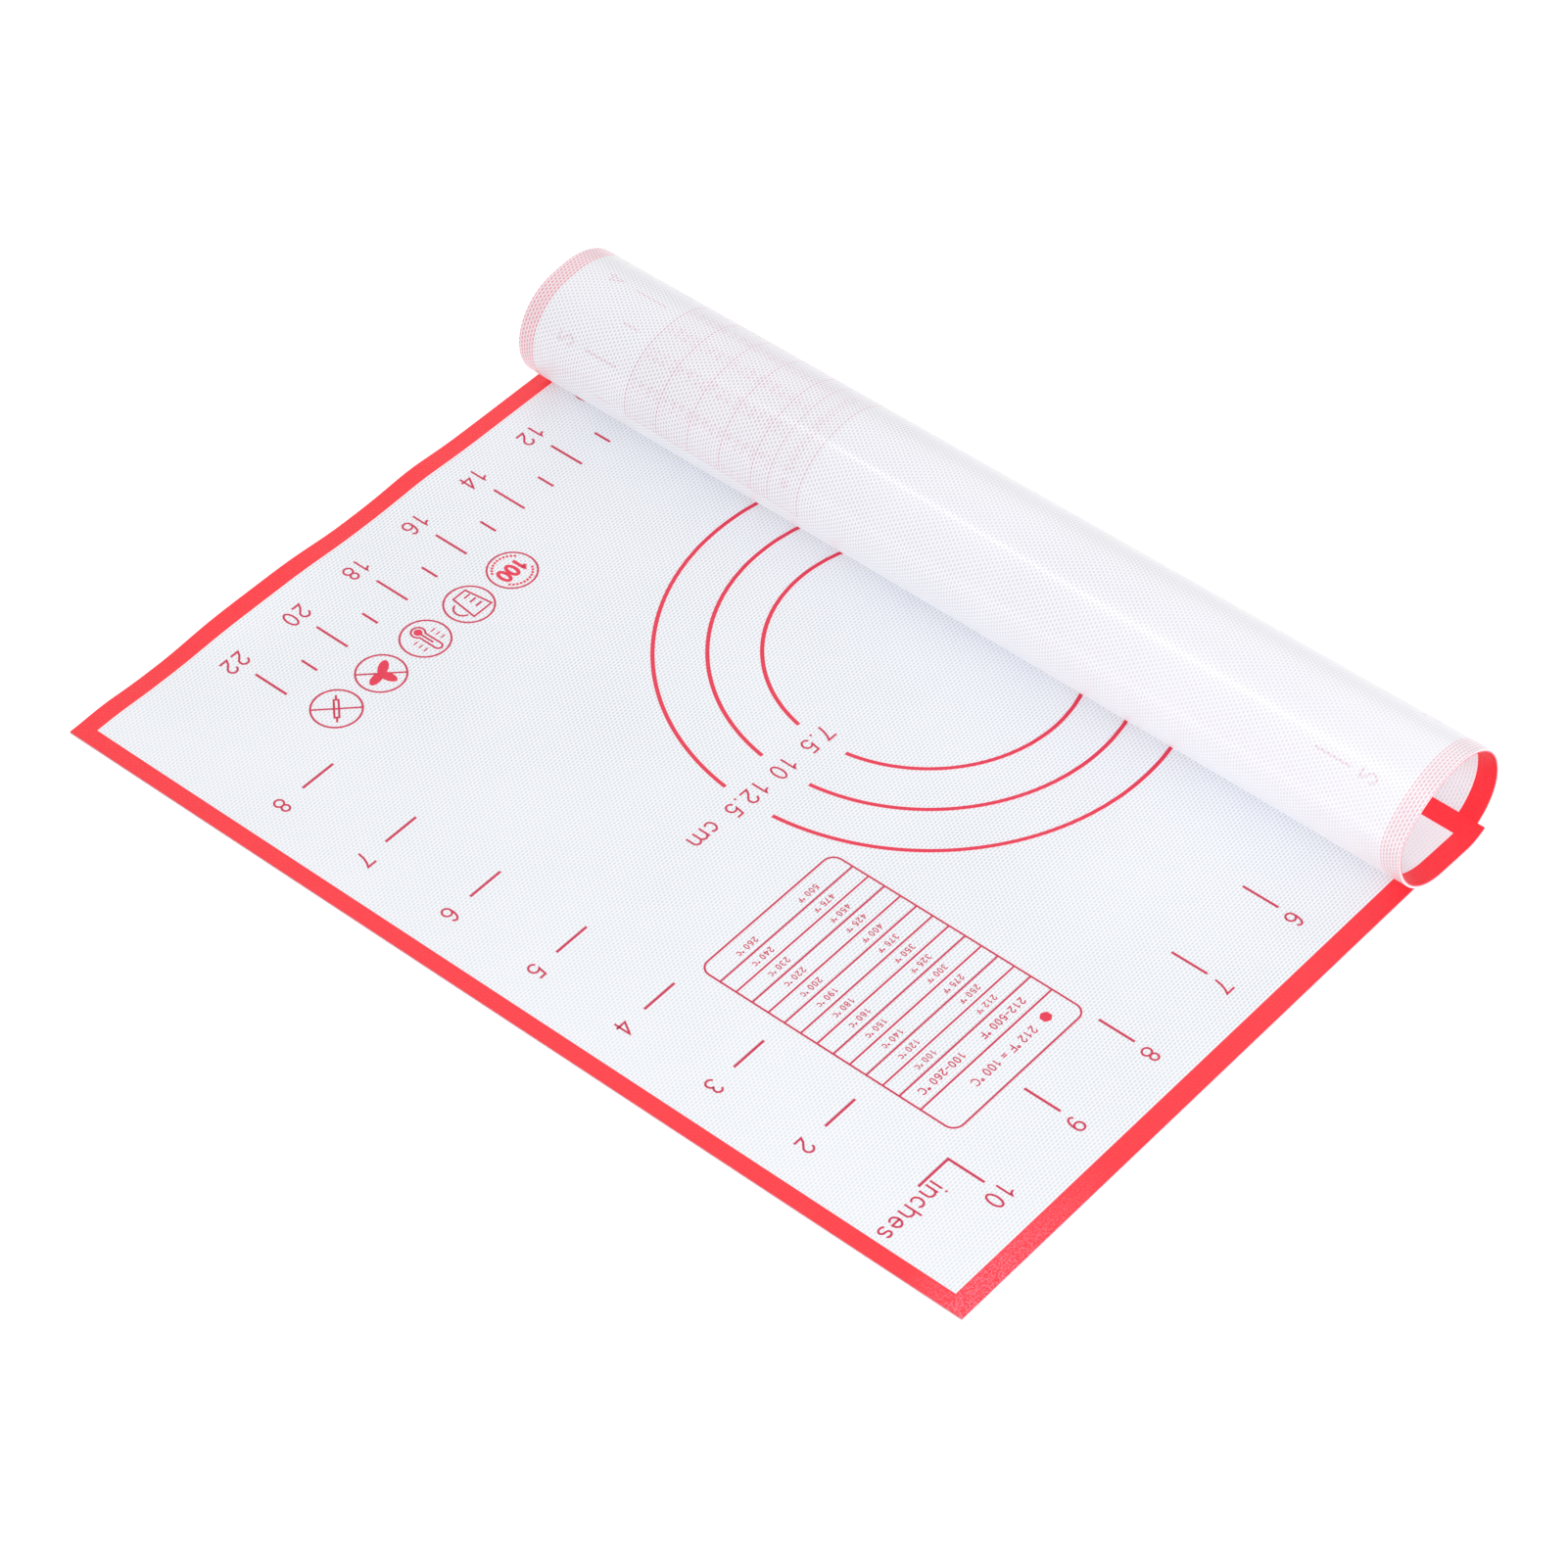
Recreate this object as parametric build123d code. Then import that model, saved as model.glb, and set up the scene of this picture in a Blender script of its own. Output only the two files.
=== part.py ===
from build123d import *
import os
from math import cos, radians, sin, tau

# A silicone baking mat: a glass fibre mesh between two silicone coats, with a red border, rulers, ring guides
# and tables printed on its upper face. It lies flat in front, and its far end is rolled up and forward over
# itself, with the last stretch tucked in along the bottom of the roll.
# Millimetres, +Z up, +X along the front edge, +Y towards the roll. The origin is under the middle of the object.
# Places on the sheet are given across it, from its middle, and as a run along it, from its front edge.

# The sheet as it was cut
sheet_width = 259.0
sheet_length = 290.0

# The laminate, from the worktop up
bottom_coat = 0.25
mesh_core = 0.2
top_coat = 0.25
print_film = 0.05

# The roll, at its outer face: an oval of tangent arcs whose radii are shares of its height
roll_height = 32.0
back_foot_share = 0.405
crown_share = 0.79
front_shoulder_share = 0.234
toe_share = 0.508
crown_turn = radians(45)
front_foot_turn = radians(50)
tuck_gap = 0.2
end_climb = 7.0

# Widths of the red border, whose print sits a little off the middle of the cut sheet
border_right = 5.1
border_left = 4.5
border_front = 4.2
border_end = 5.0

# Strokes of the print
ruler_line = 0.55
ring_line = 0.95
table_line = 0.4
badge_line = 0.4

# The inch rulers share a corner mark near the right front corner of the sheet
inch_spacing = 25.4
corner_from_right = 29.05
corner_from_front = 31.0
tick_length = 9.8
side_inch_ticks = 9
front_inch_ticks = 7

# The centimetre ruler, whose even ticks are long and odd ticks short
centimetre_spacing = 10.0
centimetre_from_left = 29.05
centimetre_from_front = 40.0
short_tick_length = 4.9
centimetre_ticks = 22

# The ring guides for rolling dough, open in front where their sizes are printed
small_ring = 75.0
middle_ring = 100.0
large_ring = 125.0
ring_opening = 13.8
ring_centre_from_front = 144.4
ring_centre_right_of_middle = 1.2

# The temperature table by the corner mark
table_across = 71.83
table_along = 44.9
table_left_of_corner = 3.27
table_behind_corner = 6.4
table_corner_radius = 3.0
title_band = 9.72
head_band = 5.85
last_row = 6.16
rows = 12

# The second table, on the rolled stretch
second_table_across = 52.8
second_table_along = 44.0
second_table_from_left = 33.7
second_table_from_front = 213.7
second_title_band = 5.9
second_head_band = 7.3
second_rows = 4

# The row of round badges beside the centimetre ruler
badge_diameter = 12.2
badge_pitch = 14.7
badge_from_left = 40.8
badge_from_front = 44.0
badges = 5

# Depths through the laminate, measured from its outer face
mesh_depth = bottom_coat
top_coat_depth = mesh_depth + mesh_core
laminate = top_coat_depth + top_coat
printed_depth = laminate + print_film

# Rows of the tables, which share what the two bands leave
row_pitch = (table_across - title_band - head_band - last_row) / (rows - 1)
second_row_pitch = (second_table_across - second_title_band - second_head_band) / second_rows

# The turns of the roll, in the order that the sheet takes them
quarter = tau / 4
tuck_height = printed_depth + tuck_gap
back_foot_radius = back_foot_share * roll_height
back_shoulder_radius = roll_height - back_foot_radius
crown_radius = crown_share * roll_height
front_shoulder_radius = front_shoulder_share * roll_height
toe_radius = toe_share * roll_height
crown_drop = crown_radius * (1 - cos(crown_turn)) + front_shoulder_radius * cos(crown_turn)
front_foot_drop = roll_height - tuck_height - crown_drop - toe_radius * (1 - sin(front_foot_turn))
front_foot_radius = front_foot_drop / sin(front_foot_turn)
climb_radius = back_foot_radius - tuck_height
turns = (
    (back_foot_radius, quarter),
    (back_shoulder_radius, quarter),
    (crown_radius, crown_turn),
    (front_shoulder_radius, quarter - crown_turn),
    (front_foot_radius, front_foot_turn),
    (toe_radius, quarter - front_foot_turn),
)


def middle_length(radius, turn):
    """Length of a turn along the middle of the laminate, where it neither stretches nor shrinks."""
    return (radius - laminate / 2) * turn


def loop_advance():
    """How far the loop moves the sheet along +Y between its first turn and its last."""
    heading, advance = 0, 0
    for radius, turn in turns:
        advance += radius * (sin(heading + turn) - sin(heading))
        heading += turn
    return advance


tuck_straight = -loop_advance()
loop_length = sum(middle_length(radius, turn) for radius, turn in turns)
flat_run = sheet_length - loop_length - tuck_straight - end_climb
depth_overall = flat_run + back_foot_radius
front_edge = -depth_overall / 2
right_edge = sheet_width / 2
left_edge = -sheet_width / 2


class Stretch:
    """One straight or arc of the sheet's route in the YZ plane, known by its outer face."""

    def __init__(self, start, length, y, z, heading, radius=None):
        self.start, self.end = start, start + length
        self.y, self.z, self.heading, self.radius = y, z, heading, radius

    def point(self, run, depth):
        """The point at a run along the sheet and a depth into the laminate."""
        along = run - self.start
        if self.radius is None:
            ahead, aside, heading = along, 0, self.heading
        else:
            turn = along / (self.radius - laminate / 2)
            ahead, aside = self.radius * sin(turn), self.radius * (1 - cos(turn))
            heading = self.heading + turn
        y = self.y + ahead * cos(self.heading) - aside * sin(self.heading)
        z = self.z + ahead * sin(self.heading) + aside * cos(self.heading)
        return y - depth * sin(heading), z + depth * cos(heading)


def sheet_route():
    """The flat stretch, the turns of the roll, the tucked straight and the end that climbs the back wall."""
    route = [Stretch(0, flat_run, front_edge, 0, 0)]
    heading = 0
    for radius, turn in turns:
        y, z = route[-1].point(route[-1].end, 0)
        route.append(Stretch(route[-1].end, middle_length(radius, turn), y, z, heading, radius))
        heading += turn
    y, z = route[-1].point(route[-1].end, 0)
    route.append(Stretch(route[-1].end, tuck_straight, y, z, 0))
    y, z = route[-1].point(route[-1].end, 0)
    route.append(Stretch(route[-1].end, end_climb, y, z, 0, climb_radius))
    return route


route = sheet_route()


def edges_at(depth, across, run_from, run_to):
    """Edges that follow the route at one depth, in the plane at one place across the sheet."""
    edges = []
    for stretch in route:
        start, end = max(stretch.start, run_from), min(stretch.end, run_to)
        if end <= start:
            continue
        first, middle, last = (
            Vector(across, *stretch.point(run, depth)) for run in (start, (start + end) / 2, end)
        )
        if stretch.radius is None:
            edges.append(Edge.make_line(first, last))
        else:
            edges.append(Edge.make_three_point_arc(first, middle, last))
    return edges


def layer(depth_from, depth_to, left, right, run_from, run_to):
    """The solid between two depths, two places across the sheet and two runs along it."""
    lower = edges_at(depth_from, left, run_from, run_to)
    upper = edges_at(depth_to, left, run_from, run_to)
    ends = [Edge.make_line(lower[0] @ 0, upper[0] @ 0), Edge.make_line(lower[-1] @ 1, upper[-1] @ 1)]
    return extrude(make_face(lower + upper + ends), right - left, dir=(1, 0, 0)).solid()


def whole_layer(depth_from, depth_to):
    """A layer of the laminate over the whole sheet."""
    return layer(depth_from, depth_to, left_edge, right_edge, 0, sheet_length)


def printed(left, right, run_from, run_to):
    """A rectangle of print that follows the sheet, on the flat or round the roll."""
    return layer(laminate, printed_depth, left, right, run_from, run_to)


def printed_flat(outline, across, run):
    """A printed outline centred at a place on the flat stretch."""
    return extrude(Pos(across, front_edge + run, laminate) * outline, print_film)


def tick_across(left, right, run):
    """A ruler tick that lies across the sheet."""
    return printed(left, right, run - ruler_line / 2, run + ruler_line / 2)


def tick_along(across, run_from, run_to):
    """A ruler tick that lies along the sheet."""
    return printed(across - ruler_line / 2, across + ruler_line / 2, run_from, run_to)


def border():
    """The red frame along all four edges of the sheet, in one piece."""
    inner_left, inner_right = left_edge + border_left, right_edge - border_right
    inner_end = sheet_length - border_end
    front = printed(left_edge, right_edge, 0, border_front)
    end = printed(left_edge, right_edge, inner_end, sheet_length)
    left = printed(left_edge, inner_left, border_front, inner_end)
    right = printed(inner_right, right_edge, border_front, inner_end)
    return front + left + right + end


corner_across = right_edge - corner_from_right


def corner_mark():
    """The L that both inch rulers start from."""
    outer = ruler_line / 2
    across_leg = tick_across(corner_across - outer, corner_across + tick_length, corner_from_front)
    along_leg = tick_along(corner_across, corner_from_front - tick_length, corner_from_front - outer)
    return across_leg + along_leg


def side_inch_ruler():
    """Inch ticks that run from the corner mark along the right edge and into the roll."""
    return [
        tick_across(corner_across, corner_across + tick_length, corner_from_front + inch_spacing * count)
        for count in range(1, side_inch_ticks + 1)
    ]


def front_inch_ruler():
    """Inch ticks that run from the corner mark along the front edge."""
    return [
        tick_along(corner_across - inch_spacing * count, corner_from_front - tick_length, corner_from_front)
        for count in range(1, front_inch_ticks + 1)
    ]


def centimetre_ruler():
    """Centimetre ticks along the left edge and into the roll, long and short by turns."""
    inner_end = left_edge + centimetre_from_left
    ticks = []
    for count in range(centimetre_ticks):
        length = short_tick_length if count % 2 else tick_length
        ticks.append(tick_across(inner_end - length, inner_end, centimetre_from_front + centimetre_spacing * count))
    return ticks


def ring_guide(diameter):
    """The flat stretch of one ring guide, open in front."""
    ring = Circle((diameter + ring_line) / 2) - Circle((diameter - ring_line) / 2)
    opening = Pos(0, -diameter / 2) * Rectangle(ring_opening, diameter)
    beyond_flat = diameter / 2 + ring_line
    flat_behind_centre = flat_run - ring_centre_from_front
    rolled_up = Pos(0, flat_behind_centre + beyond_flat) * Rectangle(2 * beyond_flat, 2 * beyond_flat)
    return printed_flat(ring - opening - rolled_up, ring_centre_right_of_middle, ring_centre_from_front).solids()


def table_lines(title, head, pitch, count):
    """Distances of a table's dividing lines from its title end."""
    return [title] + [title + head + pitch * row for row in range(count)]


def temperature_table():
    """The framed table with a title band, a band of headings and its rows."""
    frame = RectangleRounded(table_across, table_along, table_corner_radius)
    window = RectangleRounded(
        table_across - 2 * table_line, table_along - 2 * table_line, table_corner_radius - table_line
    )
    outline = frame - window
    for distance in table_lines(title_band, head_band, row_pitch, rows):
        outline += Pos(table_across / 2 - distance) * Rectangle(table_line, table_along - table_line)
    across = corner_across - table_left_of_corner - table_across / 2
    return printed_flat(outline, across, corner_from_front + table_behind_corner + table_along / 2)


def second_table():
    """The smaller table, whose frame and dividing lines run round the roll."""
    left, near = left_edge + second_table_from_left, second_table_from_front
    right, far = left + second_table_across, near + second_table_along
    lines = table_lines(second_title_band, second_head_band, second_row_pitch, second_rows)
    frame_sides = [right - table_line / 2, left + table_line / 2]
    bars = [printed(left, right, near, near + table_line), printed(left, right, far - table_line, far)]
    for across in frame_sides + [right - distance for distance in lines]:
        edges = across - table_line / 2, across + table_line / 2
        bars.append(printed(*edges, near + table_line, far - table_line))
    return bars


def badge_rings():
    """The plain rings of the badges."""
    ring = Circle(badge_diameter / 2) - Circle(badge_diameter / 2 - badge_line)
    return [
        printed_flat(ring, left_edge + badge_from_left, badge_from_front + badge_pitch * count).solid()
        for count in range(badges)
    ]


def write(name, shape):
    """Writes one node, whose solids stay separate where there are several."""
    if isinstance(shape, list):
        shape = Compound(children=shape)
    export_step(shape, os.path.join("parts", name + ".step"))


os.makedirs("parts", exist_ok=True)
write("bottom_silicone", whole_layer(0, mesh_depth))
write("glass_fibre_mesh", whole_layer(mesh_depth, top_coat_depth))
write("top_silicone", whole_layer(top_coat_depth, laminate))
write("border_print", border())
write("corner_mark", corner_mark())
write("side_inch_ruler", side_inch_ruler())
write("front_inch_ruler", front_inch_ruler())
write("centimetre_ruler", centimetre_ruler())
write("small_ring_guide", list(ring_guide(small_ring)))
write("middle_ring_guide", list(ring_guide(middle_ring)))
write("large_ring_guide", list(ring_guide(large_ring)))
write("temperature_table", temperature_table())
write("second_table", second_table())
write("badge_rings", badge_rings())
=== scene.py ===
"""A printed silicone baking mat, lying flat in front and rolled up behind.

Every point of the mat is worked out from its place on the flat sheet: how far it lies across the sheet
from its middle, its run along the sheet from the front edge, and its height in the laminate, which is
counted from the unprinted face. Places are (across, run) pairs in metres."""

from math import ceil, cos, pi, radians, sin

import bpy
import numpy as np
from bpy.props import FloatProperty, FloatVectorProperty, PointerProperty
from mathutils import Matrix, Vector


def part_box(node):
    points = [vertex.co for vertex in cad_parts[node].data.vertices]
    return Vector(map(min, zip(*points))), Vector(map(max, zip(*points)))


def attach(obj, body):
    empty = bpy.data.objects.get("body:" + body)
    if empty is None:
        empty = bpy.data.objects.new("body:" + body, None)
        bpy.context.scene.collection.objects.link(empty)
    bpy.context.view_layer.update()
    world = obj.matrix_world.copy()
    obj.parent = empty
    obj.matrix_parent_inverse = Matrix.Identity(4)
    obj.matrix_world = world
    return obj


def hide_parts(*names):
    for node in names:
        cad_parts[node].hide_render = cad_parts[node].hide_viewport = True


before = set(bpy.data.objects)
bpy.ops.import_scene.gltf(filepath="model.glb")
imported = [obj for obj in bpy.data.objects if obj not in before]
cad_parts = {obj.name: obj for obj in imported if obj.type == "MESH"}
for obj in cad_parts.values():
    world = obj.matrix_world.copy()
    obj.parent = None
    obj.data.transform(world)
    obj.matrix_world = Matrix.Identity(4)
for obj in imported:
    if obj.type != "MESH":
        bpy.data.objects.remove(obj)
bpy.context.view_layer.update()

bl_info = {
    "name": "Silicone Baking Mat",
    "version": (1, 0, 0),
    "blender": (4, 5, 0),
    "location": "View3D > Sidebar > Baking Mat",
    "description": "Builds a printed silicone baking mat that is half rolled up",
    "category": "Add Mesh",
}

MM = 0.001
BODY = "root"

# The sheet, from the frame
COAT_LOW, COAT_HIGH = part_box("bottom_silicone")
SHEET_WIDTH = COAT_HIGH.x - COAT_LOW.x
RIGHT_EDGE, LEFT_EDGE = SHEET_WIDTH / 2, -SHEET_WIDTH / 2
FRONT_EDGE = COAT_LOW.y
SHEET_LENGTH = 290 * MM
BOTTOM_COAT, MESH_CORE, TOP_COAT, PRINT_FILM = 0.25 * MM, 0.2 * MM, 0.25 * MM, 0.05 * MM
MESH_TOP = BOTTOM_COAT + MESH_CORE
LAMINATE = MESH_TOP + TOP_COAT
PRINT_TOP = LAMINATE + PRINT_FILM
PRINT_KEY = 0.02 * MM
HAIR = 0.004 * MM
TUCK_HEIGHT = PRINT_TOP + 0.2 * MM

# Arcs of each end's outline as shares of its height: back foot, crown, front shoulder and toe. The crown
# turns by an angle of each end's own
RIGHT_SHARES, RIGHT_CROWN_TURN = (0.405, 0.79, 0.234, 0.508), radians(45)
LEFT_SHARES, LEFT_CROWN_TURN = (0.346, 1.351, 0.457, 0.46), radians(9.54)
FRONT_FOOT_TURN = radians(50)

# Lifted stretches of the left edge: run of the middle, half length, height, and how flat its top is
EDGE_WAVES = ((58, 22, 1.35, 4), (111.5, 9.5, 0.85, 2), (10.5, 7, 0.5, 2))
WAVE_REACH = 10 * MM

# Red border
BORDER_RIGHT, BORDER_LEFT, BORDER_FRONT, BORDER_END = 5.1 * MM, 4.5 * MM, 4.2 * MM, 5 * MM

# Inch rulers, from their corner mark
INCH = 25.4 * MM
CORNER = (RIGHT_EDGE - 29.05 * MM, 31 * MM)
TICK_LENGTH = 9.8 * MM
SIDE_INCHES = 9
FRONT_INCHES = 7
SIDE_NUMERALS = (14.5 * MM, -0.6 * MM)
FRONT_NUMERALS = (0.3 * MM, -16.6 * MM)
INCHES_WORD_PLACE = (3.2 * MM, -15.8 * MM)

# Centimetre ruler
CENTIMETRE = 10 * MM
CENTIMETRE_INNER_END = LEFT_EDGE + 29.05 * MM
CENTIMETRE_START = 40 * MM
SHORT_TICK = 4.9 * MM
CENTIMETRE_TICKS = 22
CENTIMETRE_NUMERALS = (-15.8 * MM, -0.4 * MM)

# Ring guides
RING_CENTRE = (1.2 * MM, 144.4 * MM)
RING_DIAMETERS = {"small_ring_guide": 75 * MM, "middle_ring_guide": 100 * MM, "large_ring_guide": 125 * MM}
RING_OPENING = 13.8 * MM
RING_LABELS = (("7.5", -37.7), ("10", -49.3), ("12.5", -61.8), ("cm", -76.1))
RING_LABEL_SHIFT = 0.65 * MM

# Temperature table, measured from the corner mark
TABLE_NEAR, TABLE_FAR = 6.4 * MM, 51.3 * MM
TABLE_RIGHT, TABLE_LEFT = -3.27 * MM, -75.1 * MM
TABLE_RADIUS = 3 * MM
TITLE_BAND, HEAD_BAND, LAST_ROW = 9.72 * MM, 5.85 * MM, 6.16 * MM
FAHRENHEIT = (212, 250, 275, 300, 325, 350, 375, 400, 425, 450, 475, 500)
CELSIUS = (100, 120, 140, 150, 160, 180, 190, 200, 220, 230, 240, 260)
FAHRENHEIT_COLUMN, CELSIUS_COLUMN = 38.7 * MM, 18.3 * MM
VALUE_SHIFT, UNIT_SHIFT, UNIT_RISE = 1.1 * MM, 2.6 * MM, 0.1 * MM
TITLE_PLACE = (8.9 * MM, 29.6 * MM)
TITLE_SPOT, TITLE_SPOT_RADIUS = (9.1 * MM, 44.1 * MM), 1.5 * MM

# Second table, on the rolled stretch
SECOND_LEFT, SECOND_NEAR = LEFT_EDGE + 33.7 * MM, 205.8 * MM
SECOND_ACROSS, SECOND_ALONG = 53.4 * MM, 44.9 * MM
SECOND_TITLE, SECOND_HEAD, SECOND_ROWS = 9 * MM, 5.2 * MM, 4
SECOND_COLUMNS, SECOND_COLUMN_PITCH, SECOND_FIRST_COLUMN = 5, 8.2 * MM, 2.6 * MM

# The second table's figures as they show through the sheet
SEEN_COLUMN_WIDTH, SEEN_ROW_WIDTH = 3.2 * MM, 1.7 * MM
SEEN_ROW_START, SEEN_ROW_PITCH = 1.2 * MM, 2.475 * MM
SEEN_TITLE_HALF, SEEN_TITLE_START, SEEN_TITLE_END = 1.2 * MM, 8 * MM, 10 * MM
SEEN_DISC_RUN, SEEN_DISC_RADIUS, SEEN_DISC_LENGTH = 7.2 * MM, 1.2 * MM, 0.1 * MM

# Badges
BADGE_ACROSS, BADGE_START = LEFT_EDGE + 40.8 * MM, 44 * MM
BADGE_PITCH, BADGE_RADIUS = 14.7 * MM, 6.2 * MM

# Strokes and letters
RULER_LINE, RING_LINE, TABLE_LINE, BADGE_LINE = 0.63 * MM, 0.97 * MM, 0.46 * MM, 0.48 * MM
NUMERAL_HEIGHT, TABLE_NUMERAL_HEIGHT, HEAD_HEIGHT = 4.7 * MM, 1.6 * MM, 2.2 * MM
NUMERAL_LINE = 0.5 * MM
FINE_LINE, HEAD_LINE, HEAVY_LINE = 0.24 * MM, 0.3 * MM, 0.7 * MM
FIGURE_SPREAD, HEAD_SPREAD = 0.12 * MM, 0.1 * MM
HUNDRED_HEIGHT, HUNDRED_LINE, HUNDRED_SPREAD = 4 * MM, 0.9 * MM, -0.45 * MM

# Plain weave of the glass fibre: one yarn across the sheet, and one along it
YARN_ACROSS, YARN_ALONG = 0.819 * MM, 0.575 * MM
FACE_DOTS, BACK_DOTS = (0.4, 0.18, 0.09), (0.27, 0.18, 0.22)

# Stretches over which the weave's dots and the painted glow, which stands in for light let through the sheet,
# rise from none to full
FACE_DOT_START, FACE_DOT_END = (-20 * MM, 80 * MM), (200 * MM, 170 * MM)
# Across the back, the dots and the border seen through grow paler towards the right end; on the border this
# is painted sheen
BACK_DOT_ACROSS = (110 * MM, -60 * MM)
TURNED_GLOW, UNDERSIDE_GLOW = (176 * MM, 196 * MM), (244 * MM, 260 * MM)

# Painted sheen at the front right corner, pale flecks in the ink that stand in for glossy speckles catching
# the light: its colour, its reach along both edges and its most
CORNER_SHEEN_INK = (0.98, 0.3, 0.42, 1.0)
CORNER_SHEEN_SIDE, CORNER_SHEEN_FRONT, CORNER_SHEEN_MOST = (52 * MM, 14 * MM), 17 * MM, 0.5

# Cut edges of the layers, stained by the border's ink
LOW_EDGE, MIDDLE_EDGE, HIGH_EDGE = (0.92, 0.74, 0.78), (0.9, 0.62, 0.68), (0.6, 0.08, 0.13)

# Grid steps of the sheet, and the longest step of a printed line
ACROSS_STEP, FLAT_STEP, TURN_STEP, LINE_STEP = 4 * MM, 3 * MM, radians(2.5), 1 * MM

# Camera, lens and studio
CAMERA_PLACE = (0.56303, -0.64841, 0.89513)
CAMERA_AZIMUTH, CAMERA_ELEVATION, CAMERA_ROLL = radians(40.837), radians(46.281), radians(-0.467)
LENS, SENSOR = 127.566, 36.0

# Soft boxes, each by its place and its size
RIGHT_BOX = (1.34, -0.57, 0.68), (1.6, 1.0)
BACK_BOX = (-0.75, 1.07, 0.92), (1.4, 1.0)
TOP_BOX = (0.3, 0.35, 1.15), (0.6, 0.4)
GLOSS_STRIP, GLOSS_TURN = ((-0.44, 0.085, 1), (0.44, 0.05)), radians(51)


class MatForm(bpy.types.PropertyGroup):
    """How the mat lies."""

    right_height: FloatProperty(
        name="Right roll height",
        description="Height of the roll at the right end",
        default=COAT_HIGH.z - COAT_LOW.z,
        unit="LENGTH",
    )
    left_height: FloatProperty(
        name="Left roll height",
        description="Height of the roll at the left end, where it is rolled a little tighter",
        default=30.17 * MM,
        unit="LENGTH",
    )
    right_flat: FloatProperty(
        name="Right flat run",
        description="Run along the right edge before the sheet turns up into the roll",
        default=172.36 * MM,
        unit="LENGTH",
    )
    left_flat: FloatProperty(
        name="Left flat run",
        description="Run along the left edge before the sheet turns up into the roll",
        default=176.53 * MM,
        unit="LENGTH",
    )
    slip: FloatProperty(
        name="Slip",
        description="How far the sheet's tucked end has slipped to the right of its front edge",
        default=2.2 * MM,
        unit="LENGTH",
    )
    wave: FloatProperty(
        name="Edge wave",
        description="How much the lifted stretches of the left edge rise, where 1 is as seen",
        default=1.0,
        subtype="FACTOR",
    )


class MatColours(bpy.types.PropertyGroup):
    """Colours of the mat's finishes."""

    face: FloatVectorProperty(
        name="Printed face",
        description="Colour of the silicone on the printed face",
        default=(0.907, 0.925, 0.961),
        subtype="COLOR",
        size=3,
    )
    back: FloatVectorProperty(
        name="Back face",
        description="Colour of the silicone on the unprinted face",
        default=(0.93, 0.916, 0.962),
        subtype="COLOR",
        size=3,
    )
    gap: FloatVectorProperty(
        name="Weave gaps",
        description="Colour where the glass weave leaves gaps under the silicone",
        default=(0.50, 0.53, 0.57),
        subtype="COLOR",
        size=3,
    )
    border: FloatVectorProperty(
        name="Border ink",
        description="Colour of the red border",
        default=(0.98, 0.03, 0.046),
        subtype="COLOR",
        size=3,
    )
    marking: FloatVectorProperty(
        name="Marking ink",
        description="Colour of the rings and of the badge figures",
        default=(0.80, 0.027, 0.075),
        subtype="COLOR",
        size=3,
    )
    fine_marking: FloatVectorProperty(
        name="Fine markings",
        description="Colour of the rulers, tables, badge rings and numerals",
        default=(0.61, 0.022, 0.082),
        subtype="COLOR",
        size=3,
    )
    seen_through: FloatVectorProperty(
        name="Border seen through",
        description="Colour of the border where it shows through the weave",
        default=(0.81, 0.3, 0.37),
        subtype="COLOR",
        size=3,
    )
    seen_marks: FloatVectorProperty(
        name="Markings seen through",
        description="Colour of the markings where they show through the weave's gaps",
        default=(0.6, 0.16, 0.28),
        subtype="COLOR",
        size=3,
    )


class MatStage(bpy.types.PropertyGroup):
    """Lights round the mat."""

    surround: FloatProperty(
        name="Surround light",
        description="Strength of the even light from all round",
        default=0.62,
        subtype="FACTOR",
    )
    right_box: FloatProperty(
        name="Right box", description="Power of the low soft box to the right", default=8, unit="POWER"
    )
    through_box: FloatProperty(
        name="Light through the mat",
        description="Power of the same soft box's light that passes through the mat, and so casts no shadow",
        default=18.3,
        unit="POWER",
    )
    back_box: FloatProperty(
        name="Back box",
        description="Power of the shadowless box behind, to the left",
        default=3.6,
        unit="POWER",
    )
    top_box: FloatProperty(
        name="Top box", description="Power of the soft box above the roll", default=0.5, unit="POWER"
    )
    gloss_strip: FloatProperty(
        name="Gloss strip",
        description="Power of the strip light whose gleam runs along the roll, and which lights nothing else",
        default=1.0,
        unit="POWER",
    )


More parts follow.
